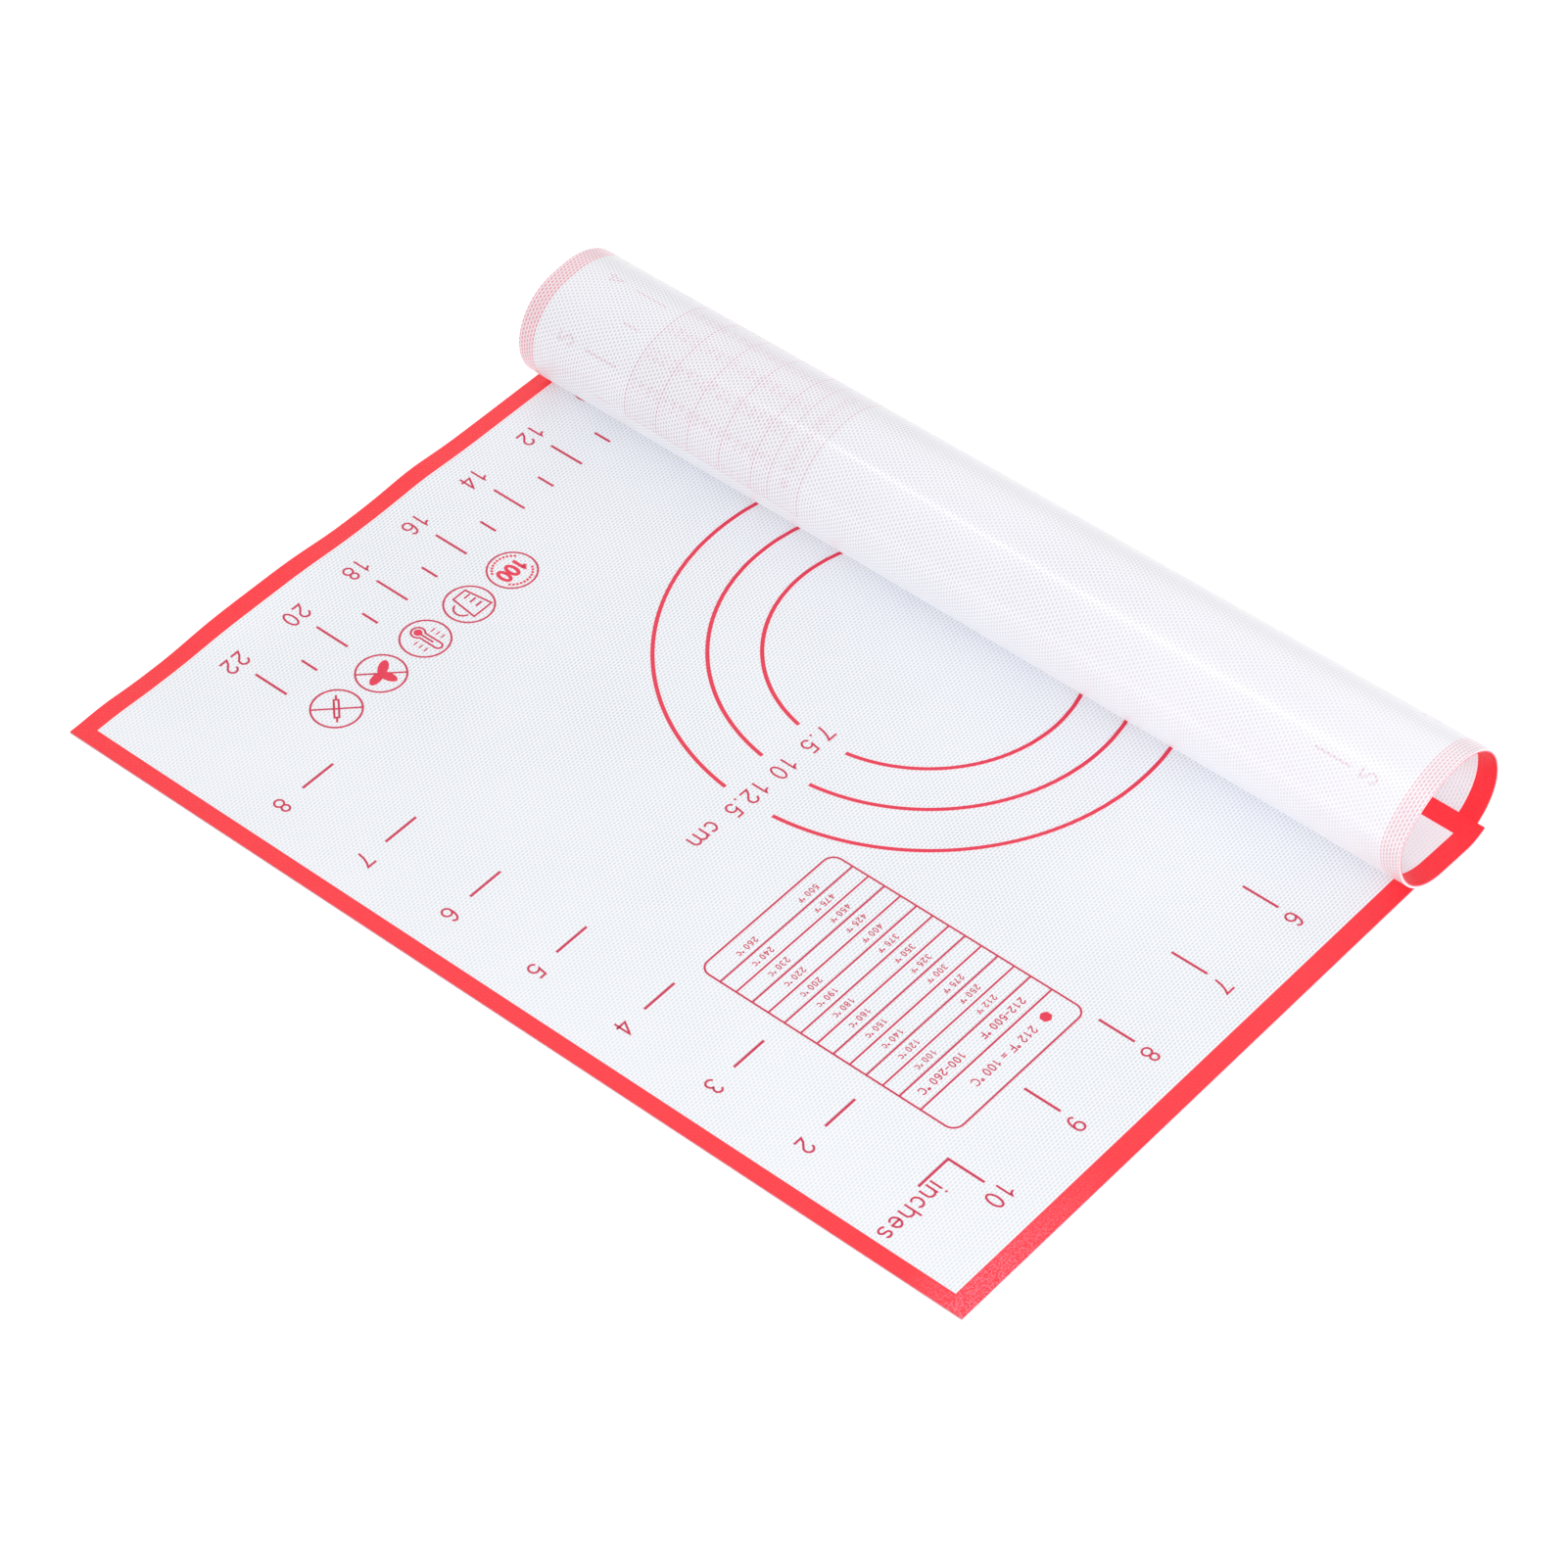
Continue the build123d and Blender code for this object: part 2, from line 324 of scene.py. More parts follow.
class EndOutline:
    """The sheet's unprinted face seen from one end: a flat run, six tangent arcs, a straight and a last arc.

    An arc of radius r that starts at (y, z) with heading h reaches, after a turn t, the point that lies
    r sin t ahead of its start and r (1 - cos t) to the left of it. A length along the sheet is kept at the
    middle of the laminate, so the turn is the length divided by r less half the laminate."""

    def __init__(self, height, flat_run, shares, crown_turn):
        back_foot, crown, front_shoulder, toe = (share * height for share in shares)
        drop = crown * (1 - cos(crown_turn)) + front_shoulder * cos(crown_turn)
        drop = height - TUCK_HEIGHT - drop - toe * (1 - sin(FRONT_FOOT_TURN))
        turns = (
            (back_foot, pi / 2),
            (height - back_foot, pi / 2),
            (crown, crown_turn),
            (front_shoulder, pi / 2 - crown_turn),
            (drop / sin(FRONT_FOOT_TURN), FRONT_FOOT_TURN),
            (toe, pi / 2 - FRONT_FOOT_TURN),
        )
        self.starts, self.at, self.headings, self.radii = [0.0], [(FRONT_EDGE, 0.0)], [0.0], [np.inf]
        run, y, z, heading = flat_run, FRONT_EDGE + flat_run, 0.0, 0.0
        for radius, turn in turns:
            self.add(run, y, z, heading, radius)
            y += radius * (sin(heading + turn) - sin(heading))
            z += radius * (cos(heading) - cos(heading + turn))
            heading += turn
            run += (radius - LAMINATE / 2) * turn
        self.add(run, y, z, 0.0, np.inf)
        straight = FRONT_EDGE + flat_run - y
        self.add(run + straight, y + straight, z, 0.0, back_foot - TUCK_HEIGHT)
        self.starts, self.headings, self.radii = map(np.array, (self.starts, self.headings, self.radii))
        self.at = np.array(self.at)
        self.turned = (flat_run, run)

    def add(self, run, y, z, heading, radius):
        self.starts.append(run)
        self.at.append((y, z))
        self.headings.append(heading)
        self.radii.append(radius)

    def place(self, run, height):
        """Place in the end's plane of points at these runs and at these heights in the laminate."""
        part = np.clip(np.searchsorted(self.starts, run, side="right") - 1, 0, len(self.starts) - 1)
        along, heading, radius = run - self.starts[part], self.headings[part], self.radii[part]
        straight = np.isinf(radius)
        round_radius = np.where(straight, 1.0, radius)
        turn = np.where(straight, 0.0, along / (round_radius - LAMINATE / 2))
        ahead = np.where(straight, along, round_radius * np.sin(turn))
        aside = np.where(straight, 0.0, round_radius * (1 - np.cos(turn)))
        y = self.at[part, 0] + ahead * np.cos(heading) - aside * np.sin(heading)
        z = self.at[part, 1] + ahead * np.sin(heading) + aside * np.cos(heading)
        return y - height * np.sin(heading + turn), z + height * np.cos(heading + turn)


class SheetForm:
    """The rolled sheet as a surface of two parameters.

    The point at (across, run) lies on the straight line between the points of the left and the right end
    outline at that run, as far along it as across lies between the edges. The rolled stretch slips to the
    right in even measure with its run, and the left edge is lifted in waves that fade inwards."""

    def __init__(self, form):
        self.left = EndOutline(form.left_height, form.left_flat, LEFT_SHARES, LEFT_CROWN_TURN)
        self.right = EndOutline(form.right_height, form.right_flat, RIGHT_SHARES, RIGHT_CROWN_TURN)
        self.slip, self.wave = form.slip, form.wave

    def lift(self, across, run):
        """Sum of bumps along the edge, each exp(-|distance / half length| ^ flatness), faded inwards."""
        rise = np.zeros_like(run)
        for middle, half_length, height, flatness in EDGE_WAVES:
            rise += height * MM * np.exp(-(np.abs(run - middle * MM) / (half_length * MM)) ** flatness)
        return self.wave * rise * np.exp(-(across - LEFT_EDGE) / WAVE_REACH)

    def point(self, across, run, height):
        """World places of points on or in the sheet, as an array of rows of x, y and z."""
        across, run, height = np.broadcast_arrays(*(np.asarray(a, float) for a in (across, run, height)))
        share = (across - LEFT_EDGE) / SHEET_WIDTH
        left, right = self.left.place(run, height), self.right.place(run, height)
        y, z = (near * (1 - share) + far * share for near, far in zip(left, right))
        start, end = self.right.turned
        x = across + self.slip * np.clip((run - start) / (end - start), 0, None)
        return np.stack([x, y, z + self.lift(across, run)], -1)

    def grid_runs(self, first, last):
        """Runs of grid lines: even steps on the flat, and even turns round the roll."""
        start = min(self.left.turned[0], self.right.turned[0])
        flat = np.linspace(0, start, ceil(start / FLAT_STEP) + 1)
        turns = np.linspace(start, SHEET_LENGTH, ceil(2.3 * pi / TURN_STEP))
        runs = np.concatenate([flat, turns, [BORDER_FRONT, SHEET_LENGTH - BORDER_END, first, last]])
        return np.unique(np.round(runs[(runs >= first) & (runs <= last)], 7))

    def grid_acrosses(self):
        """Grid lines across the sheet, closer near the lifted left edge."""
        near = LEFT_EDGE + np.linspace(0, 1, 13) ** 1.5 * 24 * MM
        far = np.linspace(near[-1], RIGHT_EDGE, ceil((RIGHT_EDGE - near[-1]) / ACROSS_STEP))
        lines = np.concatenate([near, far, [LEFT_EDGE + BORDER_LEFT, RIGHT_EDGE - BORDER_RIGHT]])
        return np.unique(np.round(lines, 7))


def sheet_form():
    return SheetForm(bpy.context.scene.mat_form)


class Builder:
    """Collects closed films and coats, given by sheet places and heights, and makes one mesh of them."""

    def __init__(self):
        self.places, self.faces, self.finishes, self.count, self.strokes = [], [], [], 0, 0

    def take(self, places, faces, finish=0):
        self.places.append(places)
        self.faces += [[corner + self.count for corner in face] for face in faces]
        self.finishes += [finish] * len(faces) if np.isscalar(finish) else list(finish)
        self.count += len(places)

    def slab(self, across, run, low, high, kept=None):
        """A closed sheet between two heights on the kept cells of a grid, with walls round its outline.

        Vertex (i, j) of the low and of the high side is the grid point of line i across and line j along."""
        columns, rows = len(across), len(run)
        kept = np.ones((rows - 1, columns - 1), bool) if kept is None else kept
        number = np.arange(rows * columns).reshape(rows, columns)
        a, b, c, d = number[:-1, :-1], number[:-1, 1:], number[1:, 1:], number[1:, :-1]
        up = rows * columns
        padded = np.pad(kept, 1)
        sides = (
            (kept & ~padded[:-2, 1:-1], a, b),
            (kept & ~padded[2:, 1:-1], c, d),
            (kept & ~padded[1:-1, :-2], d, a),
            (kept & ~padded[1:-1, 2:], b, c),
        )
        tops = np.stack([x[kept] + up for x in (a, b, c, d)], -1)
        bottoms = np.stack([x[kept] for x in (a, d, c, b)], -1)
        walls = [np.stack([p[open_], q[open_], q[open_] + up, p[open_] + up], -1) for open_, p, q in sides]
        faces = np.concatenate([tops, bottoms, *walls])
        finish = np.repeat([0, 1, 2], [len(tops), len(bottoms), len(faces) - len(tops) - len(bottoms)])
        used, renumbered = np.unique(faces, return_inverse=True)
        grid = np.stack(np.meshgrid(across, run), -1).reshape(-1, 2)
        level = [np.column_stack([grid, np.full(up, height)]) for height in (low, high)]
        self.take(np.concatenate(level)[used], renumbered.reshape(faces.shape).tolist(), finish)

    def line(self, path, width, closed=False, low=LAMINATE - PRINT_KEY, high=PRINT_TOP):
        """A printed line of even width along a path on the sheet, as a closed bar.

        Each side is the path moved out by half the width along the mitre, which is the sum of the normals
        before and after a corner divided by one plus their product. Lines that cross lie at heights that
        differ by a hair, so that no two faces share a place."""
        high -= HAIR * (1 + self.strokes % 5 if self.strokes else 0)
        self.strokes += 1
        path = finely(np.asarray(path, float), closed)
        step = np.roll(path, -1, 0) - path
        normal = np.column_stack([-step[:, 1], step[:, 0]]) / np.linalg.norm(step, axis=1)[:, None]
        if not closed:
            normal[-1] = normal[-2]
        before = np.roll(normal, 1, 0)
        if not closed:
            before[0] = normal[0]
        mitre = (before + normal) / np.maximum(1 + (before * normal).sum(1), 0.3)[:, None] * width / 2
        corners = [(path - mitre, low), (path + mitre, low), (path + mitre, high), (path - mitre, high)]
        places = np.stack([np.column_stack([p, np.full(len(p), h)]) for p, h in corners], 1)
        first = np.arange(len(path) if closed else len(path) - 1) * 4
        after = (first + 4) % (len(path) * 4)
        side = np.arange(4)
        ends = np.stack([np.add.outer(first, side), np.add.outer(first, np.roll(side, -1))], -1)
        next_ends = np.stack([np.add.outer(after, side), np.add.outer(after, np.roll(side, -1))], -1)
        quads = np.concatenate([ends, next_ends[..., ::-1]], -1).reshape(-1, 4).tolist()
        if not closed:
            last = 4 * (len(path) - 1)
            quads += [[1, 0, 3, 2], [last, last + 1, last + 2, last + 3]]
        self.take(places.reshape(-1, 3), quads, int(width > HEAVY_LINE))

    def spot(self, outline, low=LAMINATE - PRINT_KEY, high=PRINT_TOP):
        """A filled printed shape inside an outline that turns left, as a closed plate."""
        high -= HAIR * (1 + self.strokes % 5)
        self.strokes += 1
        outline = np.asarray(outline, float)
        count = len(outline)
        level = [np.column_stack([outline, np.full(count, height)]) for height in (low, high)]
        faces = [list(range(2 * count - 1, count - 1, -1))[::-1], list(range(count))[::-1]]
        faces += [[k, (k + 1) % count, count + (k + 1) % count, count + k] for k in range(count)]
        self.take(np.concatenate(level), faces, 1)

    def finish(self, name, form, materials, smooth=True):
        """Makes the mesh, keeps each vertex's place on the sheet with it, and returns the object."""
        places = np.concatenate(self.places)
        mesh = bpy.data.meshes.new(name)
        mesh.from_pydata(form.point(*places.T).tolist(), [], self.faces)
        for material in materials:
            mesh.materials.append(material)
        mesh.polygons.foreach_set("material_index", np.minimum(self.finishes, len(materials) - 1))
        mesh.polygons.foreach_set("use_smooth", np.full(len(self.faces), smooth))
        kept = mesh.attributes.new("sheet_place", "FLOAT_VECTOR", "POINT")
        kept.data.foreach_set("vector", places.astype(np.float32).ravel())
        mesh.update()
        mesh.set_sharp_from_angle(angle=radians(35))
        piece = bpy.data.objects.new(name, mesh)
        bpy.context.scene.collection.objects.link(piece)
        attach(piece, BODY)
        return piece


def finely(path, closed=False):
    """The path with even extra points on each of its legs, none of them longer than a printed line's step."""
    ends = np.roll(path, -1, 0) if closed else path[1:]
    starts = path if closed else path[:-1]
    counts = np.maximum(np.ceil(np.linalg.norm(ends - starts, axis=1) / LINE_STEP), 1).astype(int)
    leg = np.repeat(np.arange(len(counts)), counts)
    share = (np.arange(len(leg)) - np.repeat(np.cumsum(counts) - counts, counts)) / counts[leg]
    fine = starts[leg] + (ends - starts)[leg] * share[:, None]
    return fine if closed else np.concatenate([fine, path[-1:]])


def arc(x, y, wide, high, first, last, step=12):
    """Points of an ellipse's arc: its middle plus half its width and height times cosine and sine."""
    angle = np.radians(np.linspace(first, last, ceil(abs(last - first) / step) + 1))
    return np.column_stack([x + wide * np.cos(angle), y + high * np.sin(angle)])


def joined(*parts):
    return np.concatenate([np.atleast_2d(np.asarray(part, float)) for part in parts])


def glyphs():
    """Letters as strokes, each with its step to the next letter: one unit is the height of a numeral."""
    six = [
        arc(0.39, 0.3, 0.235, 0.25, 0, 348),
        arc(0.41, 0.44, 0.255, 0.5, 197, 48),
    ]
    shoulder = joined(arc(0.375, 0.44, 0.235, 0.235, 180, 0), (0.61, 0))
    return {
        "0": (0.78, [arc(0.39, 0.5, 0.235, 0.45, 0, 348)]),
        "1": (0.78, [joined((0.18, 0.74), (0.33, 0.77), (0.42, 0.86), (0.46, 1), (0.46, 0))]),
        "2": (0.78, [joined(arc(0.39, 0.7, 0.235, 0.245, 178, -38), (0.3, 0.3), (0.17, 0.06), (0.65, 0.06))]),
        "3": (
            0.78,
            [joined(arc(0.37, 0.73, 0.2, 0.215, 160, -80), arc(0.38, 0.29, 0.235, 0.235, 80, -165))],
        ),
        "4": (0.78, [joined((0.67, 0.28), (0.1, 0.28), (0.5, 0.96), (0.5, 0))]),
        "5": (
            0.78,
            [joined((0.61, 0.94), (0.24, 0.94), (0.17, 0.48), arc(0.38, 0.32, 0.24, 0.26, 130, -158))],
        ),
        "6": (0.78, six),
        "7": (0.78, [joined((0.12, 0.94), (0.65, 0.94), (0.5, 0.7), (0.38, 0.38), (0.32, 0))]),
        "8": (0.78, [arc(0.39, 0.735, 0.2, 0.205, 0, 348), arc(0.39, 0.29, 0.24, 0.235, 0, 348)]),
        "9": (0.78, [np.array([0.78, 1]) - stroke for stroke in six]),
        ".": (0.39, [joined((0.2, 0), (0.2, 0.13))]),
        "c": (0.7, [arc(0.37, 0.365, 0.24, 0.31, 42, 318)]),
        "e": (0.78, [joined((0.15, 0.37), arc(0.39, 0.365, 0.24, 0.31, 0, 322))]),
        "h": (0.78, [joined((0.14, 0), (0.14, 1)), shoulder]),
        "i": (0.32, [joined((0.16, 0), (0.16, 0.7)), joined((0.16, 0.88), (0.16, 1))]),
        "m": (
            1.16,
            [
                joined((0.13, 0), (0.13, 0.7)),
                joined(arc(0.355, 0.46, 0.225, 0.215, 180, 0), (0.58, 0)),
                joined(arc(0.805, 0.46, 0.225, 0.215, 180, 0), (1.03, 0)),
            ],
        ),
        "n": (0.78, [joined((0.14, 0), (0.14, 0.7)), shoulder]),
        "s": (0.7, [joined(arc(0.35, 0.525, 0.19, 0.15, 25, 260), arc(0.36, 0.215, 0.21, 0.16, 90, -160))]),
        "C": (1.0, [arc(0.5, 0.5, 0.36, 0.45, 40, 320)]),
        "F": (0.85, [joined((0.15, 0), (0.15, 0.94), (0.68, 0.94)), joined((0.15, 0.5), (0.6, 0.5))]),
        "°": (0.45, [arc(0.22, 0.83, 0.12, 0.12, 0, 330, 30)]),
        "-": (0.6, [joined((0.05, 0.42), (0.55, 0.42))]),
        "=": (0.7, [joined((0.05, 0.32), (0.6, 0.32)), joined((0.05, 0.56), (0.6, 0.56))]),
        " ": (0.4, []),
    }


GLYPHS = glyphs()


def write(builder, text, middle, height, line, spread=0.0):
    """Prints text in the middle of a place, read towards the front edge with its tops to the right."""
    steps = [GLYPHS[letter][0] * height + spread for letter in text]
    across, run = middle[0] - height / 2, middle[1] + (sum(steps) - spread) / 2
    for letter, step in zip(text, steps):
        for stroke in GLYPHS[letter][1]:
            closed = letter in "068°9" and len(stroke) > 22 or letter == "°"
            builder.line(
                np.column_stack([across + stroke[:, 1] * height, run - stroke[:, 0] * height]), line, closed
            )
        run -= step


class Wires:
    """Adds math to a node tree, and hands back the sockets that hold the results."""

    def __init__(self, tree):
        self.tree = tree

    def node(self, kind, **settings):
        made = self.tree.nodes.new(kind)
        for name, value in settings.items():
            setattr(made, name, value)
        return made

    def put(self, socket, value):
        if isinstance(value, bpy.types.NodeSocket):
            self.tree.links.new(value, socket)
        else:
            socket.default_value = value

    def math(self, operation, *values):
        made = self.node("ShaderNodeMath", operation=operation)
        for socket, value in zip(made.inputs, values):
            self.put(socket, value)
        return made.outputs[0]

    def add(self, *values):
        total = values[0]
        for value in values[1:]:
            total = self.math("ADD", total, value)
        return total

    def times(self, *values):
        total = values[0]
        for value in values[1:]:
            total = self.math("MULTIPLY", total, value)
        return total

    def most(self, *values):
        largest = values[0]
        for value in values[1:]:
            largest = self.math("MAXIMUM", largest, value)
        return largest

    def within(self, value, low, high):
        """1 where the value lies between two limits, and 0 elsewhere."""
        return self.math("COMPARE", value, (low + high) / 2, (high - low) / 2)

    def repeated(self, value, period, start, width):
        """1 within half a width of the start and of each whole period from it."""
        shifted = self.math("WRAP", self.math("SUBTRACT", value, start), period / 2, -period / 2)
        return self.math("COMPARE", shifted, 0.0, width / 2)

    def ramp(self, value, start, end):
        """0 at the start and 1 at the end, in a straight line between them and level beyond."""
        made = self.node("ShaderNodeMapRange")
        for name, part in (("Value", value), ("From Min", start), ("From Max", end)):
            self.put(made.inputs[name], part)
        return made.outputs[0]

    def mix(self, share, first, second):
        made = self.node("ShaderNodeMix", data_type="RGBA")
        self.put(made.inputs["Factor"], share)
        colours = [socket for socket in made.inputs if socket.type == "RGBA"]
        for socket, value in zip(colours, (first, second)):
            self.put(socket, value)
        return next(socket for socket in made.outputs if socket.type == "RGBA")

    def noise(self, place, scale, detail=2.0):
        made = self.node("ShaderNodeTexNoise", noise_dimensions="3D")
        self.put(made.inputs["Vector"], place)
        self.put(made.inputs["Scale"], scale)
        self.put(made.inputs["Detail"], detail)
        return made.outputs["Fac"]


def group(name, inputs, outputs):
    """An empty shader node group with these inputs and outputs, and the wires to fill it."""
    tree = bpy.data.node_groups.new(name, "ShaderNodeTree")
    for in_out, sockets in (("INPUT", inputs), ("OUTPUT", outputs)):
        for label, kind in sockets:
            tree.interface.new_socket(label, in_out=in_out, socket_type=kind)
    wires = Wires(tree)
    return wires, wires.node("NodeGroupInput").outputs, wires.node("NodeGroupOutput").inputs


def glass_weave():
    """The weave under the silicone: dark dots where the yarns leave gaps, and the yarns' relief.

    Three cosines make the dots: one across the sheet at each yarn, and two aslant, whose phases are the sum
    and the difference of the turns across at two yarns and along at two. The face shows the first most, and
    the back shows all three. Thread joins the dots of one row into dashes."""
    found = bpy.data.node_groups.get("glass weave")
    if found:
        return found
    place, number = "NodeSocketVector", "NodeSocketFloat"
    outputs = [(name, number) for name in ("Face Gap", "Back Gap", "Thread", "Relief")]
    wires, given, put = group("glass weave", [("Place", place)], outputs)
    parts = wires.node("ShaderNodeSeparateXYZ")
    wires.put(parts.inputs[0], given["Place"])
    across = wires.times(parts.outputs["X"], pi / YARN_ACROSS)
    along = wires.times(parts.outputs["Y"], pi / YARN_ALONG)
    ridge = wires.math("COSINE", wires.times(across, 2.0))
    rising = wires.math("COSINE", wires.add(across, along))
    falling = wires.math("COSINE", wires.math("SUBTRACT", across, along))
    for name, shares in (("Face Gap", FACE_DOTS), ("Back Gap", BACK_DOTS)):
        waves = [wires.times(wave, share) for wave, share in zip((ridge, rising, falling), shares)]
        wires.put(put[name], wires.math("MAXIMUM", wires.add(*waves, 0.29), 0.0))
    column = wires.math("MULTIPLY_ADD", ridge, 0.5, 0.5)
    dash = wires.math("MULTIPLY_ADD", wires.add(rising, falling), 0.25, 0.5)
    dash = wires.math("SMOOTH_MIN", wires.times(dash, 2.4), 1.0, 0.3)
    wires.put(put["Thread"], wires.times(column, column, dash))
    sunk = wires.add(wires.times(ridge, -0.25), wires.times(rising, -0.15), wires.times(falling, -0.12), 0.5)
    wires.put(put["Relief"], sunk)
    return wires.tree


def sheet_place(wires):
    found = wires.node("ShaderNodeAttribute", attribute_name="sheet_place")
    parts = wires.node("ShaderNodeSeparateXYZ")
    wires.put(parts.inputs[0], found.outputs["Vector"])
    return found.outputs["Vector"], parts.outputs["X"], parts.outputs["Y"]


def new_material(name):
    """A material with its wires, its shader and the weave on its sheet places."""
    material = bpy.data.materials.new(name)
    material.use_nodes = True
    wires = Wires(material.node_tree)
    shader = material.node_tree.nodes["Principled BSDF"]
    place, across, run = sheet_place(wires)
    weave = wires.node("ShaderNodeGroup", node_tree=glass_weave())
    wires.put(weave.inputs["Place"], place)
    return material, wires, shader, (place, across, run), weave.outputs


def relief(wires, shader, height, strength, depth):
    bump = wires.node("ShaderNodeBump")
    wires.put(bump.inputs["Height"], height)
    bump.inputs["Strength"].default_value = strength
    bump.inputs["Distance"].default_value = depth
    wires.put(shader.inputs["Normal"], bump.outputs["Normal"])


def rgba(colour):
    return (*colour, 1.0)


def face_silicone():
    """The printed face: bluish white silicone over the weave, whose gaps show as fine dots."""
    colours = bpy.context.scene.mat_colours
    material, wires, shader, (place, _, run), weave = new_material("silicone printed face")
    cloud = wires.math("MULTIPLY_ADD", wires.noise(place, 30.0), 0.5, 0.5)
    outer, inner = wires.ramp(run, *FACE_DOT_START), wires.ramp(run, *FACE_DOT_END)
    outer, inner = wires.math("MULTIPLY_ADD", outer, 0.45, 0.55), wires.math("MULTIPLY_ADD", inner, 0.6, 0.4)
    clear = wires.times(outer, inner)
    shade = wires.times(weave["Face Gap"], cloud, clear)
    wires.put(shader.inputs["Base Color"], wires.mix(shade, rgba(colours.face), rgba(colours.gap)))
    wires.put(shader.inputs["Roughness"], wires.math("MULTIPLY_ADD", weave["Face Gap"], 0.15, 0.42))
    relief(wires, shader, weave["Relief"], 0.25, 0.05 * MM)
    shader.inputs["Specular IOR Level"].default_value = 0.4
    # Painted glow on the roll: emission in the face's colour, standing in for light let through the sheet
    let_through(wires, shader, run, rgba(colours.face), 0.025)
    return material


def stroke_mask(wires, across, run, start, end, half_width):
    """1 near the straight line between two sheet places: the distance to its nearest point is small."""
    (x0, y0), (x1, y1) = start, end
    dx, dy = x1 - x0, y1 - y0
    size = dx * dx + dy * dy
    along = wires.add(
        wires.times(wires.math("SUBTRACT", across, x0), dx / size),
        wires.times(wires.math("SUBTRACT", run, y0), dy / size),
    )
    made = wires.node("ShaderNodeClamp")
    wires.put(made.inputs["Value"], along)
    near = made.outputs[0]
    off_x = wires.math("SUBTRACT", across, wires.math("MULTIPLY_ADD", near, dx, x0))
    off_y = wires.math("SUBTRACT", run, wires.math("MULTIPLY_ADD", near, dy, y0))
    square = wires.add(wires.times(off_x, off_x), wires.times(off_y, off_y))
    return wires.math("LESS_THAN", square, half_width**2)


def numeral_mask(wires, across, run, digit, middle, height):
    """A numeral as the union of a few straight strokes, simplified from its letter."""
    masks = []
    for stroke in GLYPHS[digit][1]:
        legs = np.linalg.norm(np.diff(stroke, axis=0), axis=1)
        kept = np.arange(len(stroke)) % 3 == 0
        kept |= np.append(legs, 1) > 0.15
        kept |= np.append(1, legs) > 0.15
        points = stroke[kept]
        places = [
            (middle[0] - height / 2 + y * height, middle[1] + 0.39 * height - x * height) for x, y in points
        ]
        pairs = [pair for pair in zip(places[:-1], places[1:]) if pair[0] != pair[1]]
        masks += [stroke_mask(wires, across, run, *pair, RULER_LINE / 2) for pair in pairs]
    return wires.most(*masks)


def seen_border(wires, across, run):
    left = wires.math("LESS_THAN", across, LEFT_EDGE + BORDER_LEFT)
    right = wires.math("GREATER_THAN", across, RIGHT_EDGE - BORDER_RIGHT)
    front = wires.math("LESS_THAN", run, BORDER_FRONT)
    end = wires.math("GREATER_THAN", run, SHEET_LENGTH - BORDER_END)
    return wires.most(left, right, front, end)


def seen_rulers(wires, across, run):
    """Ticks of the centimetre and side inch rulers, and their numerals on the rolled stretch."""
    inner, first = CENTIMETRE_INNER_END, CENTIMETRE_START
    long_ticks = wires.times(
        wires.repeated(run, 2 * CENTIMETRE, first, RULER_LINE),
        wires.within(across, inner - TICK_LENGTH, inner),
    )
    short_ticks = wires.times(
        wires.repeated(run, 2 * CENTIMETRE, first + CENTIMETRE, RULER_LINE),
        wires.within(across, inner - SHORT_TICK, inner),
    )
    last = first + CENTIMETRE * CENTIMETRE_TICKS
    metric = wires.times(wires.most(long_ticks, short_ticks), wires.within(run, first - MM, last))
    inches = wires.times(
        wires.repeated(run, INCH, CORNER[1], RULER_LINE),
        wires.within(across, CORNER[0], CORNER[0] + TICK_LENGTH),
        wires.within(run, CORNER[1] - MM, CORNER[1] + INCH * (SIDE_INCHES + 0.5)),
    )
    numerals = [
        numeral_mask(wires, across, run, digit, place, NUMERAL_HEIGHT) for digit, place in rolled_numerals()
    ]
    return wires.most(metric, inches, *numerals)


def rolled_numerals():
    """The one-figure numerals of both rulers on the rolled stretch, with their places."""
    across = CENTIMETRE_INNER_END + CENTIMETRE_NUMERALS[0]
    for number in (8, 6, 4, 2):
        yield str(number), (across, CENTIMETRE_START + CENTIMETRE * (CENTIMETRE_TICKS - number))
    for number in (4, 3, 2, 1):
        place = CORNER[1] + INCH * (SIDE_INCHES + 1 - number)
        yield str(number), (CORNER[0] + SIDE_NUMERALS[0], place)


def seen_rings(wires, across, run):
    """The ring guides, as small distances from their radii, without their openings."""
    off_x = wires.math("SUBTRACT", across, RING_CENTRE[0])
    off_y = wires.math("SUBTRACT", run, RING_CENTRE[1])
    square = wires.add(wires.times(off_x, off_x), wires.times(off_y, off_y))
    distance = wires.math("SQRT", square)
    rings = [
        wires.math("COMPARE", distance, diameter / 2, RING_LINE / 2) for diameter in RING_DIAMETERS.values()
    ]
    opening = wires.times(
        wires.math("COMPARE", off_x, 0.0, RING_OPENING / 2), wires.math("LESS_THAN", off_y, 0.0)
    )
    return wires.times(wires.most(*rings), wires.math("SUBTRACT", 1.0, opening))


def second_table_lines():
    """Places across the sheet of the second table's frame sides and dividing lines."""
    right = SECOND_LEFT + SECOND_ACROSS
    row = (SECOND_ACROSS - SECOND_TITLE - SECOND_HEAD) / SECOND_ROWS
    rows = [right - SECOND_TITLE - SECOND_HEAD - row * count for count in range(SECOND_ROWS + 1)]
    return [right, right - SECOND_TITLE, *rows]


